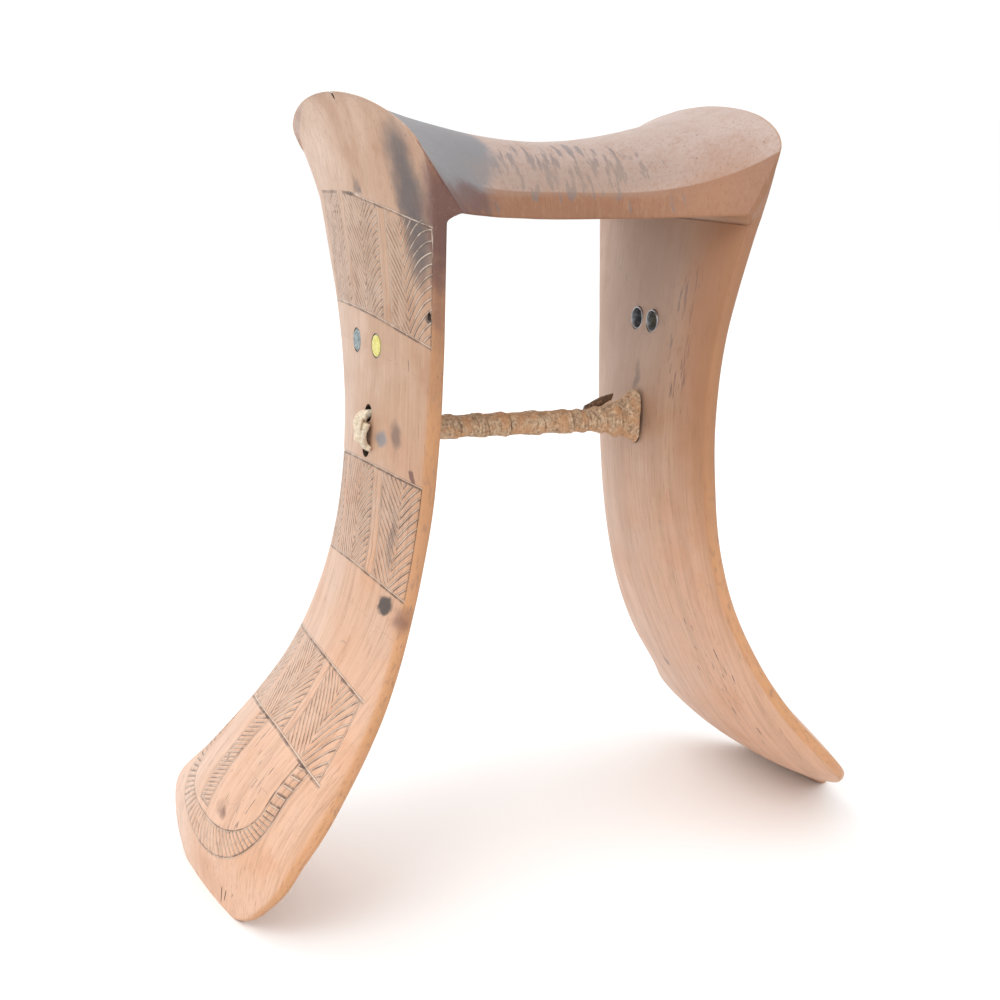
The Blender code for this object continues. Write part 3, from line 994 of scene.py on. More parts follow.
@dataclass(frozen=True)
class Crack:
    """A narrow split in the wood, cut as a wedge.

    The place is a layout point, and the spread its half length along each of
    the three layout directions, in millimetres.
    """

    place: tuple[float, float, float]
    spread: tuple[float, float, float]
    lean: float = 0.0

    def wedge(self) -> bpy.types.Object:
        """Make the cutter, thinner at its two ends.

        Returns:
            The cutter.
        """
        deselect_all()
        bpy.ops.mesh.primitive_ico_sphere_add(subdivisions=2, radius=1.0)
        cutter = bpy.context.object
        cutter.scale = [s * MM for s in self.spread]
        cutter.rotation_euler = (self.lean, -STANCE.tilt, 0.0)
        cutter.location = Vector(STANCE.place(self.place))
        bake_place(cutter)
        return cutter


CRACKS = (
    Crack((-49.6, 2.6, 179.4), (3.0, 0.7, 3.0), 0.12),
    Crack((-77.0, -11.0, 3.0), (2.2, 0.22, 2.6), 0.3),
    Crack((-76.6, -13.4, 3.6), (2.0, 0.2, 2.2), 0.45),
    Crack((-75.6, -17.6, 5.2), (2.0, 0.18, 1.6), 0.5),
    Crack((-37.2, -27.6, 132.9), (0.9, 0.75, 1.0), 0.0),
)


# -------------------------------------------------------------- small pieces


@dataclass
class InlaySet:
    """Rolled sheet-metal tubes through the legs, each with a coloured fill."""

    tube_radius: float = 2.66
    wall: float = 0.2
    proud: float = 0.12
    sunk: float = 0.3
    fill_radius: float = 2.42
    fill_length: float = 3.4
    fill_depth: float = 0.1
    dome_step: float = 0.045
    dome_rings: int = 4
    rim_bevel: float = 0.06
    out_of_round: float = 0.07
    facets: int = 56

    def build(self, block: CarvedBlock) -> dict[str, bpy.types.Object]:
        """Make the four tubes and the four fills, keyed by their piece name.

        Args:
            block: the carved block, for its faces.

        Returns:
            Tubes and fills by name.
        """
        pieces = {}
        for side in Side:
            for row in Row:
                tag = f"{side.name.lower()}_{row.name.lower()}"
                y, z = block.inlay_spot(side, row)
                a = Vector(STANCE.place(block.face(side, z, y)))
                b = Vector(STANCE.place(block.face(side, z, y, False)))
                pieces["metal_tube_" + tag] = self._tube(a, b, "metal_tube_" + tag)
                pieces["fill_" + tag] = self._fill(a, b, "fill_" + tag)
        return pieces

    def _turned(self, a: Vector, b: Vector, radius: float, start: float, end: float,
                ends: str) -> bpy.types.Object:
        """Add a cylinder on the line from a to b, between two depths in millimetres.

        Args:
            a: point on the outer face.
            b: point on the inner face.
            radius: radius, in millimetres.
            start: first depth below the outer face.
            end: last depth.
            ends: how its two ends are closed.

        Returns:
            The cylinder.
        """
        axis = (b - a).normalized()
        p, q = a + axis * start * MM, a + axis * end * MM
        deselect_all()
        bpy.ops.mesh.primitive_cylinder_add(vertices=self.facets, radius=radius * MM,
                                            depth=(q - p).length, end_fill_type=ends)
        obj = bpy.context.object
        obj.rotation_euler = axis.to_track_quat("Z", "Y").to_euler()
        obj.location = (p + q) / 2
        bake_place(obj)
        return obj

    def _ruffle(self, obj: bpy.types.Object, a: Vector, amount: float, seed: float) -> None:
        """Knock a turned piece slightly out of round, as hand-rolled sheet is.

        Args:
            obj: the object.
            a: point on the outer face.
            amount: greatest shift, in millimetres.
            seed: shifts the pattern.
        """
        for v in obj.data.vertices:
            p = v.co - a
            v.co += noise.noise_vector(p * 330 + Vector((seed, 0, 0))) * amount * MM

    def _tube(self, a: Vector, b: Vector, name: str) -> bpy.types.Object:
        """Roll one tube from face to face, its rims a little ragged.

        Args:
            a: point on the outer face.
            b: point on the inner face.
            name: name of the new piece.

        Returns:
            The finished tube.
        """
        tube = self._turned(a, b, self.tube_radius, self.sunk,
                            (b - a).length / MM + self.proud, "NOTHING")
        tube.name = tube.data.name = name
        bpy.ops.object.mode_set(mode="EDIT")
        bpy.ops.mesh.select_all(action="SELECT")
        bpy.ops.mesh.subdivide(number_cuts=5)
        bpy.ops.object.mode_set(mode="OBJECT")
        wall = tube.modifiers.new("wall", "SOLIDIFY")
        wall.thickness, wall.offset = self.wall * MM, -1.0
        lip = tube.modifiers.new("lip", "BEVEL")
        lip.width, lip.segments, lip.limit_method = self.rim_bevel * MM, 2, "ANGLE"
        apply_modifiers(tube)
        self._ruffle(tube, a, self.out_of_round, len(name))
        smooth(tube, 50)
        return tube

    def _fill(self, a: Vector, b: Vector, name: str) -> bpy.types.Object:
        """Pour one fill: a slug with a slightly domed, uneven face.

        Args:
            a: point on the outer face.
            b: point on the inner face.
            name: name of the new piece.

        Returns:
            The finished fill.
        """
        fill = self._turned(a, b, self.fill_radius, self.fill_depth, self.fill_length, "NGON")
        fill.name = fill.data.name = name
        axis = (a - b).normalized()
        bpy.ops.object.mode_set(mode="EDIT")
        bpy.ops.mesh.select_mode(type="FACE")
        bpy.ops.mesh.select_all(action="DESELECT")
        bpy.ops.object.mode_set(mode="OBJECT")
        for f in fill.data.polygons:
            f.select = f.normal.dot(axis) > 0.9
        bpy.ops.object.mode_set(mode="EDIT")
        for _ in range(self.dome_rings):
            bpy.ops.mesh.inset(thickness=self.fill_radius * MM * 0.2)
            bpy.ops.transform.translate(value=axis * self.dome_step * MM)
        bpy.ops.object.mode_set(mode="OBJECT")
        self._ruffle(fill, a, self.out_of_round, len(name) + 5)
        smooth(fill, 55)
        return fill


@dataclass
class RawhideLace:
    """The flat rawhide lace, drawn tight round both legs and through the handle."""

    half_width: float = 1.15
    half_thick: float = 0.85
    pad_width: float = 2.35
    pad_thick: float = 0.75
    standoff: float = 1.2
    strand_gap: float = 1.3
    lap: float = 1.5
    step: float = 0.35
    wrinkle: float = 0.13
    squareness: float = 0.7
    around: int = 24

    def _through(self, points: Sequence[Sequence[float]]) -> np.ndarray:
        """Run a smooth line through points, with a point every step.

        Args:
            points: the points, in millimetres.

        Returns:
            Evenly spaced points of the line.
        """
        pts = np.array(points, float)
        gaps = np.linalg.norm(np.diff(pts, axis=0), axis=1)
        chord = np.concatenate([[0], np.cumsum(np.sqrt(gaps))])
        curves = [spline(chord, pts[:, k]) for k in range(3)]
        t = np.linspace(0, chord[-1], 4000)
        fine = np.stack([c(t) for c in curves], -1)
        walk = np.concatenate([[0], np.cumsum(np.linalg.norm(np.diff(fine, axis=0), axis=1))])
        at = np.linspace(0, walk[-1], int(walk[-1] / self.step))
        return np.stack([np.interp(at, walk, fine[:, k]) for k in range(3)], -1)

    def route(self, block: CarvedBlock) -> np.ndarray:
        """Centre line from the first end, round both legs, to the second end.

        Args:
            block: the carved block, for its faces.

        Returns:
            Points of the centre line, in millimetres.
        """
        up, dn = block.lace_z + block.lace_gap, block.lace_z - block.lace_gap
        left, right, mid = Side.LEFT, Side.RIGHT, block.lace_z
        lo_l, lo_r = block.face(left, dn)[0], block.face(right, dn)[0]
        hi_l, hi_r = block.face(left, up)[0], block.face(right, up)[0]
        in_l, in_r = block.face(left, mid, 0, False)[0], block.face(right, mid, 0, False)[0]
        out, s, lap = self.standoff, self.strand_gap, self.lap
        run = [(in_l - 1.0, 0, up), (in_l + 2.6, 0, up - 1.1), (in_l + 8.0, 0, mid + s)]
        back = [(in_r - 8.0, 0, mid + s), (in_r - 2.6, 0, up - 1.1), (in_r + 1.0, 0, up)]
        pts = [(lo_l - out, lap, dn + 1.6), (lo_l - out, lap, mid), (hi_l - out, lap, up - 1.9)]
        pts += [(hi_l - 0.1, lap * 0.5, up - 0.5), (hi_l + 2.0, 0, up)] + run
        pts += [(0.0, 0, mid + s)] + back
        pts += [(hi_r - 1.6, 0, up), (hi_r + 0.6, 0, up), (hi_r + out, 0, up - 1.4)]
        pts += [((lo_r + hi_r) / 2 + out, 0, mid), (lo_r + out, 0, dn + 1.4)]
        pts += [(lo_r + 0.6, 0, dn), (lo_r - 1.6, 0, dn)]
        flip = np.array([1.0, 1.0, -1.0])
        pts += [tuple(np.array(p) * flip + [0, 0, 2 * mid]) for p in back[::-1]]
        pts += [(0.0, 0, mid - s)]
        pts += [tuple(np.array(p) * flip + [0, 0, 2 * mid]) for p in run[::-1]]
        pts += [(lo_l + 2.0, 0, dn), (lo_l - 0.1, -lap * 0.5, dn + 0.5)]
        pts += [(lo_l - out, -lap, dn + 1.9), (lo_l - out - 0.15, -lap, mid)]
        pts += [(hi_l - out - 0.1, -lap * 1.1, up - 1.9)]
        return self._through(pts)

    def _strip(self, name: str, line: np.ndarray, width: np.ndarray, thick: np.ndarray,
               twist: np.ndarray, seed: float) -> bpy.types.Object:
        """Sweep a flattened strip along a line, layout millimetres.

        Args:
            name: name of the new piece.
            line: centre line.
            width: half width at each of its points.
            thick: half thickness at each point.
            twist: turn about the line at each point, in radians.
            seed: shifts the wrinkles.

        Returns:
            The finished strip.
        """
        t = np.gradient(line, axis=0)
        t /= np.linalg.norm(t, axis=1, keepdims=True)
        side = np.array([0.0, 1.0, 0.0]) - t * t[:, 1:2]
        side /= np.linalg.norm(side, axis=1, keepdims=True)
        flat = np.cross(t, side)
        c, s = np.cos(twist)[:, None], np.sin(twist)[:, None]
        side, flat = side * c + flat * s, flat * c - side * s
        a = np.linspace(0, 2 * math.pi, self.around, endpoint=False)
        ca, sa = squared(np.cos(a), self.squareness), squared(np.sin(a), self.squareness)
        grid = (line[:, None] + side[:, None] * (ca[None] * width[:, None])[..., None]
                + flat[:, None] * (sa[None] * thick[:, None])[..., None])
        wrinkle = rough_field(grid, 1.5, seed, 2)
        out = grid - line[:, None]
        out /= np.maximum(np.linalg.norm(out, axis=2, keepdims=True), 1e-6)
        grid = grid + out * (self.wrinkle * wrinkle)[..., None]
        along = np.arange(len(line)) * self.step
        weft = np.stack([np.repeat(along[:, None], self.around, 1), ca[None] * width[:, None],
                         sa[None] * thick[:, None]], -1)
        strip = skin_grid(name, STANCE.place(grid), {"weft": weft})
        smooth(strip, 60)
        return strip

    def build(self, block: CarvedBlock) -> dict[str, bpy.types.Object]:
        """Make the lace and the folded flap that finishes it.

        Args:
            block: the carved block, for its faces.

        Returns:
            Lace and flap by name.
        """
        line = self.route(block)
        face = abs(block.face(Side.LEFT, block.lace_z)[0])
        shown = np.clip((np.abs(line[:, 0]) - face + 0.7) / 1.0, 0, 1)
        shown = shown * shown * (3 - 2 * shown)
        width = self.half_width + (self.pad_width - self.half_width) * shown
        first = (line[:, 0] < 0) & (line[:, 1] > 0.3)
        width = np.where(first, width, width * (1 - 0.22 * shown))
        thick = self.half_thick + (self.pad_thick - self.half_thick) * shown
        lace = self._strip("lace_strip", line, width, thick, 0.18 * np.sin(line[:, 2] * 0.9), 2.2)
        x = block.face(Side.LEFT, block.lace_z)[0]
        z = block.lace_z
        flap = self._through([(x - 1.7, -1.5, z + 3.0), (x - 2.1, -1.7, z + 0.5),
                              (x - 1.9, -2.2, z - 1.8), (x - 1.2, -3.0, z - 3.2),
                              (x - 0.5, -3.6, z - 3.7)])
        n = np.linspace(0, 1, len(flap))
        fold = self._strip("lace_flap", flap, 0.95 - 0.35 * n, 0.34 + 0 * n, 0.5 + 0.9 * n, 9.1)
        return {"lace_strip": lace, "lace_flap": fold}


@dataclass
class HideWrap:
    """The strip of hide wound round the lace, flared where it meets each leg."""

    turns_at: tuple[float, ...] = (0.0, 10.6, 18.0, 24.0, 33.0, 41.0, 45.0, 50.0, 54.0, 60.0)
    half_height: float = 2.62
    half_depth: float = 2.5
    bore: tuple[float, float] = (2.3, 1.45)
    flare: float = 2.75
    flare_length: float = 12.0
    left_flare: float = 0.9
    lip: float = 0.34
    lean: float = 0.9
    flare_lift: float = 0.5
    squareness: float = 0.92
    lumps: tuple[float, float] = (2.6, 0.17)
    crumbs: tuple[float, float] = (0.8, 0.07)
    rows: int = 300
    around: int = 96

    def build(self, block: CarvedBlock) -> bpy.types.Object:
        """Wind the sleeve from leg to leg.

        Args:
            block: the carved block, for its faces.

        Returns:
            The finished wrap.
        """
        z0 = block.lace_z
        left = block.face(Side.LEFT, z0, 0, False)[0] + 0.55
        right = block.face(Side.RIGHT, z0, 0, False)[0] - 0.45
        span = right - left
        s = np.linspace(0, 1, self.rows)
        a = np.linspace(0, 2 * math.pi, self.around, endpoint=False)
        at, ang = np.meshgrid(s * span, a, indexing="ij")
        turns = np.array(self.turns_at) * span / self.turns_at[-1]
        lead = at + self.lean * np.sin(ang + 0.6) + 0.5 * np.sin(3 * ang + at * 0.3) * 0.3
        index = np.clip(np.searchsorted(turns, lead) - 1, 0, len(turns) - 2)
        local = (lead - turns[index]) / (turns[index + 1] - turns[index])
        local = np.clip(local, 0, 1)
        big = 1 + 1.3 * np.clip((at - span + 13) / 10, 0, 1)
        ridge = self.lip * big * (np.exp(-((1 - local) / 0.32) ** 2)
                                  - 1.1 * np.exp(-(local / 0.045) ** 2))
        ease = np.clip(1 - (span - at) / self.flare_length, 0, 1) ** 1.35
        swell = self.flare * ease + self.left_flare * np.clip(1 - at / 3.0, 0, 1) ** 2
        lobes = 0.16 * np.cos(2 * ang) * ease + 0.10 * np.cos(3 * ang + 0.8) * ease
        high = self.half_height + swell * (1 + lobes) + ridge
        deep = self.half_depth + 0.38 * swell + ridge
        p = np.stack([at, high * np.cos(ang), deep * np.sin(ang)], -1)
        lumps = (rough_field(p, self.lumps[0], 4.4, 2) * self.lumps[1]
                 + rough_field(p, self.crumbs[0], 1.9, 1) * self.crumbs[1])
        high, deep = high + lumps, deep + lumps
        end = 1.1 * np.clip((at - span + 2.2) / 2.2, 0, 1) * (np.abs(np.cos(ang)) - 0.75)
        x = left + at + np.minimum(end, 0.0)
        cz, sy = squared(np.cos(ang), self.squareness), squared(np.sin(ang), self.squareness)
        lift = self.flare_lift * ease
        outer = np.stack([x, deep * sy, z0 + lift + high * cz], -1)
        bore_high = self.bore[0] + swell * 0.9
        bore_deep = self.bore[1] + 0.22 * swell
        inner = np.stack([x, bore_deep * sy, z0 + lift + bore_high * cz], -1)
        pick = np.linspace(self.rows - 1, 0, 40).astype(int)
        grid = np.concatenate([outer, inner[pick]])
        weft = np.stack([lead, ang * self.half_height, local], -1)
        weft = np.concatenate([weft, weft[pick]])
        wrap = skin_grid("hide_wrap", STANCE.place(grid), {"weft": weft}, caps=False)
        smooth(wrap, 50)
        return wrap


@dataclass
class LeatherTab:
    """The folded scrap of leather tucked behind the handle."""

    reach: float = 4.0
    stations: tuple[tuple[float, float, float, float], ...] = (
        (-7.6, 0.9, 1.7, 1.0), (-5.4, 0.75, 2.3, 1.7), (-3.6, 0.7, 3.0, 1.75),
        (-1.6, 0.65, 3.7, 1.55), (-0.2, 0.6, 4.3, 1.15))
    thick: float = 0.42
    behind: float = 4.1
    fold: float = 0.35
    squareness: float = 0.6

    def build(self, block: CarvedBlock) -> bpy.types.Object:
        """Cut, fold and place the scrap.

        Args:
            block: the carved block, for its faces.

        Returns:
            The finished tab.
        """
        x1 = block.face(Side.RIGHT, block.lace_z, 0, False)[0] - self.reach
        k = np.linspace(0, len(self.stations) - 1, 46)
        rows = np.array(self.stations)
        x, y, z, w = (np.interp(k, np.arange(len(rows)), rows[:, i]) for i in range(4))
        a = np.linspace(0, 2 * math.pi, 40, endpoint=False)
        ca, sa = squared(np.cos(a), self.squareness), squared(np.sin(a), self.squareness)
        fold = self.fold * np.abs(ca)[None] * np.ones((len(k), 1))
        grid = np.stack([x1 + x[:, None] + 0.5 * ca[None] * w[:, None],
                         self.behind + y[:, None] + fold + sa[None] * self.thick,
                         block.lace_z + z[:, None] + ca[None] * w[:, None]], -1)
        grid = grid + 0.10 * rough_field(grid, 1.3, 6.6, 2)[..., None]
        weft = np.stack([np.repeat(k[:, None] * 2, 40, 1), ca[None] * w[:, None],
                         sa[None] + 0 * w[:, None]], -1)
        tab = skin_grid("folded_tab", STANCE.place(grid), {"weft": weft})
        smooth(tab, 50)
        return tab


# ------------------------------------------------------------------- finishes

Colour = tuple[float, float, float]


class Sheet:
    """A node tree drawn with short calls."""

    def __init__(self, tree: bpy.types.NodeTree) -> None:
        """Work on an empty tree."""
        self.tree = tree
        tree.nodes.clear()

    def add(self, kind: str, sockets: dict[Any, Any] | None = None,
            **settings: Any) -> bpy.types.Node:
        """Add a node.

        Args:
            kind: node type, without the word Shader before it.
            sockets: input values or links, by name or number.
            settings: node properties.

        Returns:
            The new node.
        """
        node = self.tree.nodes.new(kind if kind.startswith("Node") else "ShaderNode" + kind)
        for key, value in settings.items():
            setattr(node, key, value)
        for key, value in (sockets or {}).items():
            if isinstance(value, Socket):
                self.tree.links.new(value, node.inputs[key])
            else:
                node.inputs[key].default_value = value
        return node

    def sum(self, op: str, a: Any, b: Any = 0.0, c: Any = 0.0) -> Socket:
        """One arithmetic step."""
        return self.add("Math", {0: a, 1: b, 2: c}, operation=op).outputs[0]

    def step(self, value: Any, low: float, high: float) -> Socket:
        """Smooth step from 0 at low to 1 at high; low may be the larger one."""
        node = self.add("MapRange", {0: value, 1: low, 2: high}, interpolation_type="SMOOTHSTEP")
        return node.outputs[0]

    def mix(self, share: Any, a: Any, b: Any) -> Socket:
        """Blend two colours.

        Args:
            share: how much of the second colour.
            a: first colour.
            b: second colour.

        Returns:
            The blended colour.
        """
        def full(c: Any) -> Any:
            """Add an alpha to a plain colour."""
            return (*c, 1.0) if isinstance(c, tuple) and len(c) == 3 else c

        node = self.add("Mix", {0: share, 6: full(a), 7: full(b)}, data_type="RGBA",
                        clamp_factor=True)
        return node.outputs[2]

    def noise(self, vector: Socket, scale: float, detail: float = 2.0, rough: float = 0.55,
              warp: float = 0.0) -> Socket:
        """Smooth noise around one half.

        Args:
            vector: coordinates.
            scale: how fine it is.
            detail: how many finer layers.
            rough: weight of the finer layers.
            warp: how far it is distorted.

        Returns:
            Values from 0 to 1.
        """
        node = self.add("TexNoise", {"Vector": vector, "Scale": scale, "Detail": detail,
                                     "Roughness": rough, "Distortion": warp})
        return node.outputs["Fac"]

    def scaled(self, vector: Socket, scale: Sequence[float],
               place: Sequence[float] = (0, 0, 0)) -> Socket:
        """Stretch and move a pattern.

        Args:
            vector: coordinates.
            scale: factor along each axis.
            place: shift along each axis.

        Returns:
            The new coordinates.
        """
        node = self.add("Mapping", {"Vector": vector, "Scale": tuple(scale),
                                    "Location": tuple(place)})
        return node.outputs[0]

    def attribute(self, name: str) -> bpy.types.Node:
        """Read a mesh attribute."""
        return self.add("Attribute", attribute_name=name)

    def split(self, vector: Socket) -> list[Socket]:
        """The three parts of a vector."""
        return list(self.add("SeparateXYZ", {0: vector}).outputs)

    def bump(self, height: Socket, depth: float, strength: float = 1.0,
             under: Socket | None = None) -> Socket:
        """Turn a height into a normal; depth is in millimetres.

        Args:
            height: relief from 0 to 1.
            depth: its depth, in millimetres.
            strength: share of it that shows.
            under: normal that it is laid over.

        Returns:
            The new normal.
        """
        sockets = {"Height": height, "Distance": depth * MM, "Strength": strength}
        if under is not None:
            sockets["Normal"] = under
        return self.add("Bump", sockets).outputs[0]


class SharedEffect(Enum):
    """Effects that several finishes use, each one shader node group."""

    FIBRE = "fibre"
    BLOT = "blot"
    GRIME = "grime"


class EffectLibrary:
    """Builds each shared effect once and places it in materials."""

    def __init__(self) -> None:
        """Build all the groups."""
        self.groups = {
            SharedEffect.FIBRE: self._fibre(),
            SharedEffect.BLOT: self._blot(),
            SharedEffect.GRIME: self._grime(),
        }

    def place(self, sheet: Sheet, effect: SharedEffect, sockets: dict[str, Any]) -> bpy.types.Node:
        """Put a group in a material, with its own values.

        Args:
            sheet: the node tree.
            effect: which group.
            sockets: its values or links, by name.

        Returns:
            The group node.
        """
        node = sheet.add("Group", node_tree=self.groups[effect])
        for key, value in sockets.items():
            if isinstance(value, Socket):
                sheet.tree.links.new(value, node.inputs[key])
            else:
                node.inputs[key].default_value = value
        return node

    def _start(self, name: str, inputs: Iterable[tuple[str, str, Any]],
               outputs: Iterable[str]) -> tuple[Sheet, bpy.types.Node, bpy.types.Node]:
        """Open an empty group with named sockets.

        Args:
            name: name of the group.
            inputs: label, kind and value of each input.
            outputs: label of each output.

        Returns:
            The tree and its input and output nodes.
        """
        tree = bpy.data.node_groups.new(name, "ShaderNodeTree")
        for label, kind, value in inputs:
            socket = tree.interface.new_socket(label, in_out="INPUT",
                                               socket_type="NodeSocket" + kind)
            if value is not None:
                socket.default_value = value
        for label in outputs:
            tree.interface.new_socket(label, in_out="OUTPUT", socket_type="NodeSocketFloat")
        sheet = Sheet(tree)
        return sheet, sheet.add("NodeGroupInput"), sheet.add("NodeGroupOutput")

    def _fibre(self) -> bpy.types.NodeTree:
        """Fibres, broad streaks and pores along the third axis of a vector in millimetres.

        Returns:
            The group.
        """
        sheet, give, take = self._start(
            "fibre", (("Vector", "Vector", None), ("Width", "Float", 0.7),
                      ("Length", "Float", 24.0)),
            ("Fibre", "Streak", "Pores", "Mottle"))
        across = sheet.sum("DIVIDE", 1.0, give.outputs["Width"])
        along = sheet.sum("DIVIDE", 1.0, give.outputs["Length"])
        stretch = sheet.add("CombineXYZ", {0: across, 1: across, 2: along}).outputs[0]
        v = sheet.add("VectorMath", {0: give.outputs["Vector"], 1: stretch},
                      operation="MULTIPLY").outputs[0]
        streak = sheet.scaled(v, (0.16, 0.16, 0.30), (3.0, 1.0, 7.0))
        pore = sheet.scaled(v, (1.5, 1.5, 3.6), (11.0, 5.0, 2.0))
        values = (("Fibre", sheet.noise(v, 1.0, 4.0, 0.65, 0.15)),
                  ("Streak", sheet.noise(streak, 1.0, 3.0, 0.55, 0.5)),
                  ("Pores", sheet.step(sheet.noise(pore, 1.0, 1.0, 0.5), 0.64, 0.74)),
                  ("Mottle", sheet.noise(give.outputs["Vector"], 0.07, 3.0, 0.55)))
        for name, value in values:
            sheet.tree.links.new(value, take.inputs[name])
        return sheet.tree

    def _blot(self) -> bpy.types.NodeTree:
        """A soft ellipsoid spot: 1 inside, 0 outside.

        Returns:
            The group.
        """
        sheet, give, take = self._start(
            "blot", (("Vector", "Vector", None), ("Centre", "Vector", (0, 0, 0)),
                     ("Radii", "Vector", (1, 1, 1)), ("Feather", "Float", 0.5)), ("Mask",))
        off = sheet.add("VectorMath", {0: give.outputs["Vector"], 1: give.outputs["Centre"]},
                        operation="SUBTRACT").outputs[0]
        unit = sheet.add("VectorMath", {0: off, 1: give.outputs["Radii"]},
                         operation="DIVIDE").outputs[0]
        far = sheet.add("VectorMath", {0: unit}, operation="LENGTH").outputs["Value"]
        inner = sheet.sum("SUBTRACT", 1.0, give.outputs["Feather"])
        node = sheet.add("MapRange", {0: far, 1: inner, 2: 1.0, 3: 1.0, 4: 0.0},
                         interpolation_type="SMOOTHSTEP")
        sheet.tree.links.new(node.outputs[0], take.inputs["Mask"])
        return sheet.tree

    def _grime(self) -> bpy.types.NodeTree:
        """Settled dust and small dark specks, over Object coordinates in metres.

        Returns:
            The group.
        """
        sheet, give, take = self._start(
            "grime", (("Vector", "Vector", None), ("Amount", "Float", 0.5)), ("Dust", "Specks"))
        v = give.outputs["Vector"]
        patch = sheet.step(sheet.noise(v, 260.0, 3.0, 0.6), 0.42, 0.68)
        fleck = sheet.step(sheet.noise(v, 1500.0, 1.0, 0.5), 0.62, 0.74)
        dust = sheet.sum("MULTIPLY", patch, give.outputs["Amount"])
        speck = sheet.sum("MULTIPLY", fleck, give.outputs["Amount"])
        sheet.tree.links.new(dust, take.inputs["Dust"])
        sheet.tree.links.new(speck, take.inputs["Specks"])
        return sheet.tree


@dataclass(frozen=True)
class StainAndShadow:
    """A soft spot of colour in the wood, each a stain, a painted shadow or a painted sheen: layout
    place and radii in millimetres.
    """

    place: tuple[float, float, float]
    radii: tuple[float, float, float]
    colour: Colour
    strength: float = 0.8
    feather: float = 0.7
    seat_only: bool = False


SOOT: Colour = (0.072, 0.056, 0.056)
MAROON: Colour = (0.12, 0.05, 0.04)
UMBER: Colour = (0.21, 0.10, 0.055)
STEEL: Colour = (0.195, 0.195, 0.21)
INK: Colour = (0.035, 0.03, 0.03)
RUST: Colour = (0.52, 0.24, 0.11)
SHADOW_BROWN: Colour = (0.33, 0.15, 0.07)
DUSK: Colour = (0.33, 0.225, 0.17)

STAINS_AND_SHADOWS = (
    # right leg: painted shadow under the seat, which darkens its upper inner face, most of all to the
    # front
    StainAndShadow((36.0, 6.0, 132.0), (20.0, 38.0, 52.0), DUSK, 0.7, 0.8),
    StainAndShadow((36.0, -27.0, 128.0), (20.0, 17.0, 60.0), SHADOW_BROWN, 0.8, 0.7),
    # left ear: the dark cloud over its front and the first panel's corner
    StainAndShadow((-43.5, -23.5, 166.5), (10.0, 8.5, 10.0), SOOT, 0.85, 0.75),
    StainAndShadow((-41.0, -24.5, 157.5), (9.0, 9.0, 10.5), SOOT, 0.92, 0.7),
    StainAndShadow((-39.3, -26.0, 148.5), (9.0, 8.0, 10.0), SOOT, 0.88, 0.75),
    StainAndShadow((-38.6, -25.6, 142.0), (7.0, 4.5, 6.0), SOOT, 0.55, 0.8),
    StainAndShadow((-36.5, -34.5, 149.0), (12.0, 6.5, 25.0), MAROON, 0.92, 0.5),
    StainAndShadow((-36.0, -31.5, 130.0), (8.0, 4.5, 10.0), MAROON, 0.65, 0.8),
    StainAndShadow((-42.5, 2.0, 158.4), (4.0, 3.0, 3.0), SOOT, 0.55, 0.8),
    StainAndShadow((-42.5, 0.9, 157.6), (4.0, 1.4, 1.5), SOOT, 0.45, 0.8),
    # left leg
    StainAndShadow((-39.8, -7.9, 103.3), (4.0, 4.0, 2.5), STEEL, 0.85, 0.6),
    StainAndShadow((-38.8, -14.0, 105.7), (4.0, 2.7, 4.6), SOOT, 0.6, 0.7),
    StainAndShadow((-40.2, -15.2, 82.0), (5.0, 2.0, 9.0), SOOT, 0.5, 0.8),
    StainAndShadow((-42.0, -17.9, 68.7), (5.0, 3.0, 2.9), INK, 0.92, 0.45),
    StainAndShadow((-43.0, -24.0, 66.0), (7.0, 4.5, 4.5), MAROON, 0.7, 0.8),
    StainAndShadow((-37.3, -20.6, 97.6), (3.0, 1.5, 1.7), MAROON, 0.85, 0.4),
    StainAndShadow((-37.3, -27.6, 132.9), (3.0, 1.7, 2.0), INK, 0.85, 0.5),
    StainAndShadow((-73.5, -5.2, 19.5), (4.0, 3.2, 2.0), MAROON, 0.8, 0.7),
    StainAndShadow((-72.0, -4.0, 21.0), (6.0, 6.0, 3.2), UMBER, 0.45, 0.8),
    StainAndShadow((-80.0, 0.0, 5.0), (9.0, 19.0, 6.0), RUST, 0.45, 0.9),
    # seat: the first spot, grey near the left ear, is a painted sheen, the white surround reflected in
    # the polished top
    StainAndShadow((-32.5, -14.0, 168.0), (18.0, 27.0, 15.0), STEEL, 0.92, 0.25, True),
    StainAndShadow((4.0, -17.0, 162.0), (42.0, 9.0, 9.0), DUSK, 0.55, 0.7, True),
    StainAndShadow((-26.0, -27.5, 157.5), (18.0, 7.0, 6.0), MAROON, 0.85, 0.6),
    # right leg
    StainAndShadow((30.5, 1.7, 113.8), (5.0, 1.6, 5.5), SOOT, 0.5, 0.8),
    StainAndShadow((49.8, 13.2, 37.7), (5.0, 2.6, 2.4), SOOT, 0.55, 0.8),
)


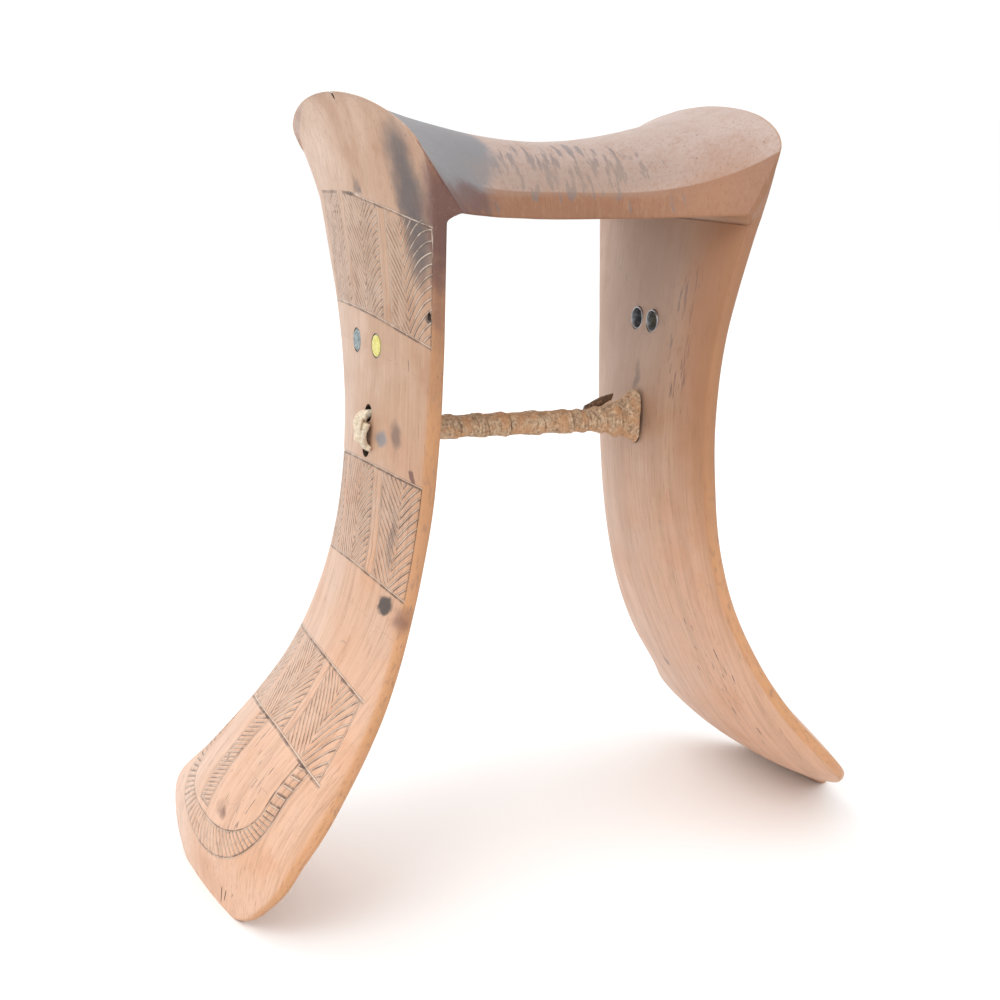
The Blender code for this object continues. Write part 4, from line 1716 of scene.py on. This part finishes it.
@dataclass(frozen=True)
class WoodFinish:
    """Hand-polished wood with fibres, dark flecks, stains, wear and incised lines, under painted light
    and shade.
    """

    slot: str = "wood_oiled"
    high: Colour = (0.44, 0.27, 0.175)
    low: Colour = (0.68, 0.415, 0.28)
    pale: Colour = (0.70, 0.54, 0.45)
    brown: Colour = (0.33, 0.175, 0.10)
    orange: Colour = (0.56, 0.27, 0.11)
    warm_high: Colour = (0.31, 0.135, 0.06)
    warm_low: Colour = (0.60, 0.29, 0.145)
    band: Colour = (0.24, 0.105, 0.058)
    seat_sheen: Colour = (0.46, 0.355, 0.32)
    fleck: Colour = (0.10, 0.065, 0.07)
    dab: Colour = (0.16, 0.145, 0.15)
    dust: Colour = (0.64, 0.52, 0.43)
    groove_shadow: Colour = (0.11, 0.065, 0.045)
    line_half: float = 0.27
    stroke_half: float = 0.24
    low_from: float = 0.150
    low_to: float = 0.055
    upper: tuple[float, float] = (0.112, 0.146)
    stray: float = 0.006
    pore_depth: float = 0.32
    groove_depth: float = 0.26

    def make(self, effects: EffectLibrary) -> bpy.types.Material:
        """Build the material.

        Args:
            effects: the shared effects.

        Returns:
            The material.
        """
        mat = bpy.data.materials.new("polished_wood")
        mat.use_nodes = True
        s = Sheet(mat.node_tree)
        here = s.add("TexCoord").outputs["Object"]
        x, y, z = s.split(here)
        grain = s.attribute("grain").outputs["Vector"]
        fibre = effects.place(s, SharedEffect.FIBRE, {"Vector": grain, "Width": 0.75,
                                                      "Length": 26.0})
        warp = s.add("TexNoise", {"Vector": here, "Scale": 180.0, "Detail": 3.0})
        shift = s.add("VectorMath", {0: warp.outputs["Color"], 1: (0.5, 0.5, 0.5)},
                      operation="SUBTRACT").outputs[0]
        loose = s.add("VectorMath", {0: shift, 1: (self.stray,) * 3, 2: here},
                      operation="MULTIPLY_ADD").outputs[0]
        seat = s.step(s.attribute("upward").outputs["Fac"], 0.25, 0.6)
        colour, front = self._ground(s, fibre, y, z, seat)
        colour, wear = self._rubbed(s, colour, grain, fibre, front, z)
        colour = self._flecks(s, effects, colour, here, loose, grain)
        # soft spots: stains, with painted shadow under the seat and a painted sheen on its top
        for colour_spot in STAINS_AND_SHADOWS:
            blot = effects.place(s, SharedEffect.BLOT, {
                "Vector": loose, "Centre": tuple(STANCE.place(colour_spot.place)),
                "Radii": tuple(r * MM for r in colour_spot.radii), "Feather": colour_spot.feather})
            share = s.sum("MULTIPLY", blot.outputs["Mask"], colour_spot.strength)
            if colour_spot.seat_only:
                share = s.sum("MULTIPLY", share, seat)
            colour = s.mix(share, colour, colour_spot.colour)
        grime = effects.place(s, SharedEffect.GRIME, {"Vector": here, "Amount": 0.5})
        colour = s.mix(s.sum("MULTIPLY", grime.outputs["Specks"], 0.35), colour, self.brown)
        groove, shade = self._cuts(s)
        ragged = s.step(s.noise(here, 300.0, 2.0), 0.38, 0.6)
        dusty = s.sum("MULTIPLY", groove, s.sum("MULTIPLY_ADD", ragged, 0.45, 0.3))
        colour = s.mix(dusty, colour, self.dust)
        # painted shadow: a dark line along one side of each incised groove
        dark = s.sum("MULTIPLY", shade, s.sum("MULTIPLY_ADD", ragged, -0.5, 0.85))
        colour = s.mix(dark, colour, self.groove_shadow)
        rough = s.sum("MULTIPLY_ADD", fibre.outputs["Fibre"], 0.25, 0.36)
        rough = s.sum("ADD", rough, s.sum("MULTIPLY", groove, 0.2))
        height = s.sum("MULTIPLY_ADD", fibre.outputs["Fibre"], 0.16,
                       s.sum("MULTIPLY", fibre.outputs["Pores"], -0.22))
        height = s.sum("MULTIPLY_ADD", wear, -0.05, height)
        normal = s.bump(height, self.pore_depth)
        normal = s.bump(s.sum("SUBTRACT", 1.0, groove), self.groove_depth, 1.0, normal)
        shader = s.add("BsdfPrincipled", {"Base Color": colour, "Roughness": rough,
                                          "Normal": normal, "Specular IOR Level": 0.5})
        out = s.add("OutputMaterial", {"Surface": shader.outputs[0]})
        out.is_active_output = True
        return mat

    def _ground(self, s: Sheet, fibre: bpy.types.Node, y: Socket, z: Socket,
                seat: Socket) -> tuple[Socket, Socket]:
        """Lay the base tones, with painted light toward the back and painted shade on the front;
        returns them and how far forward a point faces.

        Args:
            s: the node tree.
            fibre: the placed fibre group.
            y: offset to the back, in metres.
            z: height, in metres.
            seat: mask of the top of the seat.

        Returns:
            The tones, and the mask of what faces forward.
        """
        mottle, streak = fibre.outputs["Mottle"], fibre.outputs["Streak"]
        # darker high up, lighter towards the feet
        level = s.sum("MULTIPLY_ADD", mottle, 0.05, z)
        depth = s.step(level, self.low_from, self.low_to)
        colour = s.mix(depth, self.high, self.low)
        # painted light: toward the back, which shows on the left, every face is mixed toward pale as
        # if lit from the left; the mottle adds pale patches of the wood's own
        pale = s.sum("MULTIPLY", s.step(y, -0.010, 0.026), 0.42)
        pale = s.sum("MULTIPLY_ADD", s.step(mottle, 0.5, 0.72), 0.22, pale)
        colour = s.mix(pale, colour, self.pale)
        # painted shade: faces turned to the front are mixed toward a warm dark tone, the shade of
        # light falling from the left and above
        facing = s.attribute("facing").outputs["Fac"]
        front = s.step(facing, 0.12, 0.75)
        warm = s.mix(depth, self.warm_high, self.warm_low)
        colour = s.mix(s.sum("MULTIPLY", front, 0.75), colour, warm)
        dusk = s.step(mottle, 0.5, 0.3)
        colour = s.mix(s.sum("MULTIPLY", dusk, 0.42), colour, warm)
        # painted sheen: the top of the seat is mixed toward a paler, greyer tone, the white surround
        # reflected in its polish
        colour = s.mix(s.sum("MULTIPLY", seat, 0.85), colour, self.seat_sheen)
        # painted shade: high up, the narrow front face is mixed toward dark brown, to mark the arris
        # under the seat's top
        edge = s.step(s.attribute("edge_face").outputs["Fac"], 0.3, 0.7)
        edge = s.sum("MULTIPLY", edge, s.step(z, *self.upper))
        colour = s.mix(s.sum("MULTIPLY", edge, 0.9), colour, self.band)
        vein = s.step(streak, 0.50, 0.36)
        colour = s.mix(s.sum("MULTIPLY", vein, 0.22), colour, self.brown)
        line = s.step(fibre.outputs["Fibre"], 0.56, 0.30)
        colour = s.mix(s.sum("MULTIPLY", line, 0.36), colour, self.brown)
        glow = s.step(fibre.outputs["Fibre"], 0.55, 0.75)
        colour = s.mix(s.sum("MULTIPLY", glow, 0.16), colour, self.pale)
        colour = s.mix(s.sum("MULTIPLY", fibre.outputs["Pores"], 0.36), colour, self.brown)
        return colour, front

    def _flecks(self, s: Sheet, effects: EffectLibrary, colour: Socket, here: Socket,
                loose: Socket, grain: Socket) -> Socket:
        """Add the dark flecks: dashes down the right leg, dabs over the seat.

        Args:
            s: the node tree.
            effects: the shared effects.
            colour: colours so far.
            here: Object coordinates.
            loose: Object coordinates with a little stray.
            grain: the grain's coordinates.

        Returns:
            The new colours.
        """

        def zone(place: Sequence[float], radii: Sequence[float], feather: float) -> Socket:
            """Where a kind of fleck gathers.

            Args:
                place: middle, in layout millimetres.
                radii: size along each axis, in millimetres.
                feather: share of the size that fades.

            Returns:
                The mask.
            """
            node = effects.place(s, SharedEffect.BLOT, {
                "Vector": loose, "Centre": tuple(STANCE.place(place)),
                "Radii": tuple(r * MM for r in radii), "Feather": feather})
            return node.outputs["Mask"]

        dash = s.noise(s.scaled(grain, (0.85, 0.95, 0.17), (4.0, 2.3, 1.0)), 1.0, 2.0, 0.5)
        leg = zone((33.0, -15.5, 128.0), (9.0, 6.5, 27.0), 0.5)
        low = zone((52.0, -15.0, 40.0), (30.0, 12.0, 34.0), 0.6)
        foot = zone((-70.0, -4.0, 22.0), (16.0, 22.0, 20.0), 0.6)
        level = s.sum("MULTIPLY_ADD", leg, 0.185, dash)
        level = s.sum("MULTIPLY_ADD", low, 0.08, level)
        level = s.sum("MULTIPLY_ADD", foot, 0.08, level)
        colour = s.mix(s.sum("MULTIPLY", s.step(level, 0.725, 0.775), 0.75), colour, self.fleck)
        dab = s.noise(s.scaled(here, (700.0, 150.0, 170.0), (1.0, 5.0, 9.0)), 1.0, 2.0, 0.55)
        seat = zone((2.0, -14.0, 164.0), (32.0, 13.0, 9.0), 0.45)
        seat_low = zone((0.0, -24.0, 156.0), (46.0, 8.0, 5.0), 0.5)
        level = s.sum("MULTIPLY_ADD", seat, 0.235, dab)
        level = s.sum("MULTIPLY_ADD", seat_low, 0.14, level)
        colour = s.mix(s.sum("MULTIPLY", s.step(level, 0.72, 0.82), 0.62), colour, self.dab)
        return colour

    def _rubbed(self, s: Sheet, colour: Socket, grain: Socket, fibre: bpy.types.Node,
                front: Socket, z: Socket) -> tuple[Socket, Socket]:
        """Polish the arrises: warm, with short dark nicks along the front ones.

        Args:
            s: the node tree.
            colour: colours so far.
            grain: the grain's coordinates.
            fibre: the placed fibre group.
            front: how far forward a point faces.
            z: height, in metres.

        Returns:
            The new colours, and how worn each point is.
        """
        arris = s.attribute("arris").outputs["Fac"]
        patchy = s.step(fibre.outputs["Mottle"], 0.3, 0.62)
        wear = s.sum("MULTIPLY", arris, s.sum("MULTIPLY_ADD", patchy, 0.5, 0.35))
        share = s.sum("MULTIPLY", wear, s.sum("MULTIPLY_ADD", front, 0.6, 0.2))
        share = s.sum("MULTIPLY", share, s.sum("MULTIPLY_ADD", s.step(z, *self.upper), -0.8, 1.0))
        colour = s.mix(share, colour, self.orange)
        nick = s.noise(s.scaled(grain, (0.9, 1.1, 0.30), (8.0, 1.0, 3.0)), 1.0, 2.0, 0.6)
        edge = s.sum("MULTIPLY", arris, front)
        share = s.sum("MULTIPLY", s.step(nick, 0.54, 0.68), s.sum("MULTIPLY", edge, 0.6))
        return s.mix(share, colour, self.brown), wear

    def _cuts(self, s: Sheet) -> tuple[Socket, Socket]:
        """Draw the incised lines: the groove and the shadow along one side of it.

        Args:
            s: the node tree.

        Returns:
            Groove and shadow, each from 0 to 1.
        """
        groove: Any = 0.0
        shade: Any = 0.0
        for name, half, deep in (("cut_level", self.line_half, 1.0),
                                 ("cut_upright", self.line_half, 0.9)):
            offset, mask, _ = s.split(s.attribute(name).outputs["Vector"])
            groove, shade = self._one_cut(s, offset, mask, half, deep, groove, shade)
        for name, half, deep in (("cut_fine", self.stroke_half * 0.8, 0.85),
                                 ("cut_arcs", self.stroke_half * 1.1, 1.0)):
            phase, mask, pitch = s.split(s.attribute(name).outputs["Vector"])
            wave = s.sum("SUBTRACT", s.sum("FRACT", s.sum("ADD", phase, 0.5)), 0.5)
            offset = s.sum("MULTIPLY", wave, pitch)
            groove, shade = self._one_cut(s, offset, mask, half, deep, groove, shade)
        return groove, shade

    def _one_cut(self, s: Sheet, offset: Socket, mask: Socket, half: float, deep: float,
                 groove: Any, shade: Any) -> tuple[Socket, Socket]:
        """Add one family of lines to the groove and to its shadow.

        Args:
            s: the node tree.
            offset: signed distance from the line, in millimetres.
            mask: where the line is cut.
            half: half width of the line.
            deep: strength of the line.
            groove: grooves so far.
            shade: shadows so far.

        Returns:
            The new grooves and shadows.
        """
        clear = s.step(mask, 0.35, 0.8)
        line = s.step(s.sum("ABSOLUTE", offset), half, half * 0.35)
        line = s.sum("MULTIPLY", s.sum("MULTIPLY", line, clear), deep)
        aside = s.sum("ABSOLUTE", s.sum("ADD", offset, half * 1.2))
        lee = s.step(aside, half * 1.15, half * 0.45)
        lee = s.sum("MULTIPLY", s.sum("MULTIPLY", lee, clear), deep)
        return s.sum("MAXIMUM", groove, line), s.sum("MAXIMUM", shade, lee)


@dataclass(frozen=True)
class HideFinish:
    """Fibrous hide, for the lace and for the wrap."""

    name: str
    slot: str
    light: Colour
    dark: Colour
    warm: Colour
    fibre_width: float = 0.3
    fibre_length: float = 3.0
    coarse: float = 0.3
    seam: float = 0.0
    seam_shade: Colour = (0.03, 0.022, 0.018)

    def make(self, effects: EffectLibrary) -> bpy.types.Material:
        """Build the material.

        Args:
            effects: the shared effects.

        Returns:
            The material.
        """
        mat = bpy.data.materials.new(self.name)
        mat.use_nodes = True
        s = Sheet(mat.node_tree)
        here = s.add("TexCoord").outputs["Object"]
        weft = s.attribute("weft").outputs["Vector"]
        u, v, local = s.split(weft)
        turned = s.add("CombineXYZ", {0: u, 1: s.sum("MULTIPLY", local, 2.0), 2: v}).outputs[0]
        fibre = effects.place(s, SharedEffect.FIBRE, {
            "Vector": turned, "Width": self.fibre_width, "Length": self.fibre_length})
        crumb = s.noise(here, 1300.0, 4.0, 0.7)
        patch = s.noise(here, 330.0, 3.0, 0.6)
        tone = s.sum("MULTIPLY_ADD", crumb, 0.8, s.sum("MULTIPLY", fibre.outputs["Fibre"], 0.5))
        colour = s.mix(s.step(tone, 0.46, 0.86), self.dark, self.light)
        colour = s.mix(s.sum("MULTIPLY", s.step(patch, 0.42, 0.64), 0.65), colour, self.warm)
        bright = s.step(s.noise(here, 2100.0, 2.0, 0.6), 0.58, 0.72)
        colour = s.mix(s.sum("MULTIPLY", bright, 0.45), colour, self.light)
        grime = effects.place(s, SharedEffect.GRIME, {"Vector": here, "Amount": 0.8})
        colour = s.mix(s.sum("MULTIPLY", grime.outputs["Specks"], 0.6), colour, self.dark)
        if self.seam:
            # painted shade: the dip where one turn of the wrap meets the next is darkened
            gap = s.step(local, self.seam, 0.0)
            colour = s.mix(s.sum("MULTIPLY", gap, 0.7), colour, self.seam_shade)
        height = s.sum("MULTIPLY_ADD", crumb, 0.8, fibre.outputs["Fibre"])
        normal = s.bump(height, self.coarse)
        rough = s.sum("MULTIPLY_ADD", crumb, 0.2, 0.62)
        shader = s.add("BsdfPrincipled", {"Base Color": colour, "Roughness": rough,
                                          "Normal": normal, "Specular IOR Level": 0.4})
        s.add("OutputMaterial", {"Surface": shader.outputs[0]})
        return mat


@dataclass(frozen=True)
class SolidFinish:
    """A smooth worn finish with specks, for the metal, the fills and the leather."""

    name: str
    slot: str
    base: Colour
    worn: Colour
    metallic: float = 0.0
    roughness: float = 0.4
    relief: float = 0.05
    scale: float = 600.0

    def make(self, effects: EffectLibrary) -> bpy.types.Material:
        """Build the material.

        Args:
            effects: the shared effects.

        Returns:
            The material.
        """
        mat = bpy.data.materials.new(self.name)
        mat.use_nodes = True
        s = Sheet(mat.node_tree)
        here = s.add("TexCoord").outputs["Object"]
        blotch = s.noise(here, self.scale, 3.0, 0.6)
        colour = s.mix(s.step(blotch, 0.4, 0.64), self.base, self.worn)
        grime = effects.place(s, SharedEffect.GRIME, {"Vector": here, "Amount": 0.7})
        colour = s.mix(grime.outputs["Specks"], colour, tuple(c * 0.4 for c in self.base))
        rough = s.sum("MULTIPLY_ADD", blotch, 0.4, self.roughness - 0.15)
        normal = s.bump(blotch, self.relief)
        shader = s.add("BsdfPrincipled", {"Base Color": colour, "Roughness": rough,
                                          "Metallic": self.metallic, "Normal": normal})
        s.add("OutputMaterial", {"Surface": shader.outputs[0]})
        return mat


# --------------------------------------------------------------------- studio


@dataclass
class Studio:
    """Pale floor, white surround, soft lights and the camera."""

    eye: tuple[float, float, float] = (-0.192085, -0.384478, 0.173996)
    aim: tuple[float, float, float] = (0.41971, 0.88348, -0.20810)
    upright: tuple[float, float, float] = (0.08800, 0.18859, 0.97811)
    lens: float = 65.725
    sky: float = 1.08
    floor_size: float = 60.0
    floor_tone: float = 0.93
    middle: tuple[float, float, float] = (0.0, 0.0, 0.09)

    def build(self) -> None:
        """Set up everything that isn't the object."""
        self._camera()
        self._surround()
        self._lamp("key_light", (-0.85, -0.45, 1.0), 0.9, 5.2, (1.0, 0.985, 0.97))
        self._lamp("rim_light", (-0.2, 1.1, 0.9), 0.9, 4.0, (1.0, 1.0, 1.0))
        self._floor()

    def _camera(self) -> None:
        """Place the camera; it looks slightly down, level across."""
        data = bpy.data.cameras.new("camera")
        data.lens, data.sensor_width = self.lens, 36.0
        data.clip_start, data.clip_end = 0.01, 200.0
        cam = bpy.data.objects.new("camera", data)
        bpy.context.scene.collection.objects.link(cam)
        back, up = -Vector(self.aim).normalized(), Vector(self.upright).normalized()
        right = up.cross(back)
        cam.matrix_world = Matrix.Translation(self.eye) @ Matrix(
            (right, up, back)).transposed().to_4x4()
        bpy.context.scene.camera = cam

    def _surround(self) -> None:
        """White world and plain tone response."""
        world = bpy.data.worlds.new("surround")
        world.use_nodes = True
        shade = world.node_tree.nodes["Background"]
        shade.inputs["Color"].default_value = (1.0, 1.0, 1.0, 1.0)
        shade.inputs["Strength"].default_value = self.sky
        bpy.context.scene.world = world
        bpy.context.scene.view_settings.view_transform = "Standard"

    def _lamp(self, name: str, place: Sequence[float], size: float, power: float,
              colour: Colour) -> None:
        """Hang one soft square lamp aimed at the middle of the object.

        Args:
            name: name of the lamp.
            place: where it hangs, in metres.
            size: width of the square.
            power: watts.
            colour: colour of the light.
        """
        data = bpy.data.lights.new(name, "AREA")
        data.shape, data.size, data.energy, data.color = "SQUARE", size, power, colour
        lamp = bpy.data.objects.new(name, data)
        bpy.context.scene.collection.objects.link(lamp)
        lamp.location = place
        ray = Vector(self.middle) - Vector(place)
        lamp.rotation_euler = ray.to_track_quat("-Z", "Y").to_euler()

    def _floor(self) -> None:
        """Lay the pale floor."""
        deselect_all()
        bpy.ops.mesh.primitive_plane_add(size=self.floor_size, location=(0, 0, 0))
        floor = bpy.context.object
        floor.name = floor.data.name = "floor"
        mat = bpy.data.materials.new("pale_floor")
        mat.use_nodes = True
        shader = mat.node_tree.nodes["Principled BSDF"]
        shader.inputs["Base Color"].default_value = (*(self.floor_tone,) * 3, 1.0)
        shader.inputs["Roughness"].default_value = 0.9
        floor.data.materials.append(mat)


# ----------------------------------------------------------------------- main

RAWHIDE = HideFinish("rawhide_cream", "rawhide", (0.82, 0.73, 0.58), (0.46, 0.36, 0.25),
                     (0.72, 0.56, 0.38), 0.35, 4.0, 0.22)
WOUND_HIDE = HideFinish("wound_hide_fibres", "wound_hide", (0.78, 0.57, 0.38),
                        (0.24, 0.14, 0.08), (0.56, 0.28, 0.13), 0.3, 3.2, 0.34, 0.07)
METAL = SolidFinish("dull_sheet_metal", "sheet_aluminium", (0.42, 0.43, 0.45),
                    (0.62, 0.63, 0.65), 1.0, 0.42, 0.06, 900.0)
BLUE_GREY = SolidFinish("blue_grey_fill", "fill_blue_grey", (0.13, 0.17, 0.18),
                        (0.30, 0.35, 0.36), 0.0, 0.45, 0.08, 1100.0)
YELLOW = SolidFinish("yellow_fill", "fill_yellow", (0.56, 0.49, 0.10),
                     (0.68, 0.63, 0.22), 0.0, 0.4, 0.08, 1100.0)
# painted shade: the inside of every hole and crack is near black
BORE_SHADE = SolidFinish("dark_bore", "wood_oiled", (0.03, 0.02, 0.013), (0.06, 0.04, 0.022),
                   0.0, 0.8, 0.1, 900.0)
LEATHER = SolidFinish("tab_leather", "brown_leather", (0.10, 0.052, 0.026),
                      (0.24, 0.14, 0.075), 0.0, 0.55, 0.12, 1200.0)


def dress(piece: bpy.types.Object, finish: Any, made: dict[str, bpy.types.Material],
          effects: EffectLibrary, nodes: Sequence[str] = ()) -> None:
    """Give a piece its finish and its body, and hide the CAD nodes it stands for.

    Args:
        piece: the finished mesh.
        finish: its finish; each one is made once.
        made: the materials made so far, by slot.
        effects: the shared effects.
        nodes: CAD nodes that the piece replaces.
    """
    if finish.slot not in made:
        made[finish.slot] = finish.make(effects)
    if not piece.data.materials:
        piece.data.materials.append(made[finish.slot])
    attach(piece, "root")
    if nodes:
        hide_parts(*nodes)
    log.info("%s: %d faces, finish %s", piece.name, len(piece.data.polygons), finish.slot)


def main() -> None:
    """Build the headrest piece by piece."""
    logging.basicConfig(level=logging.INFO, format="%(message)s")
    noise.seed_set(NOISE_SEED)
    Studio().build()
    effects, made = EffectLibrary(), {}
    block = CarvedBlock()
    wood = WoodFinish()
    made[wood.slot] = wood.make(effects)
    body = block.build(made[wood.slot], BORE_SHADE.make(effects))
    dress(body, wood, made, effects, ["carved_body"])
    for name, piece in InlaySet().build(block).items():
        tag = name.split("_", 1)[1].removeprefix("tube_")
        if name.startswith("metal_tube_"):
            dress(piece, METAL, made, effects, ["inlay_tube_" + tag])
        else:
            fill = YELLOW if tag.endswith("front") else BLUE_GREY
            dress(piece, fill, made, effects, ["inlay_fill_" + tag])
    lace = RawhideLace().build(block)
    dress(lace["lace_strip"], RAWHIDE, made, effects, ["rawhide_lace"])
    dress(lace["lace_flap"], RAWHIDE, made, effects)
    dress(HideWrap().build(block), WOUND_HIDE, made, effects, ["handle_wrap"])
    dress(LeatherTab().build(block), LEATHER, made, effects, ["leather_tab"])


if __name__ == "__main__":
    main()
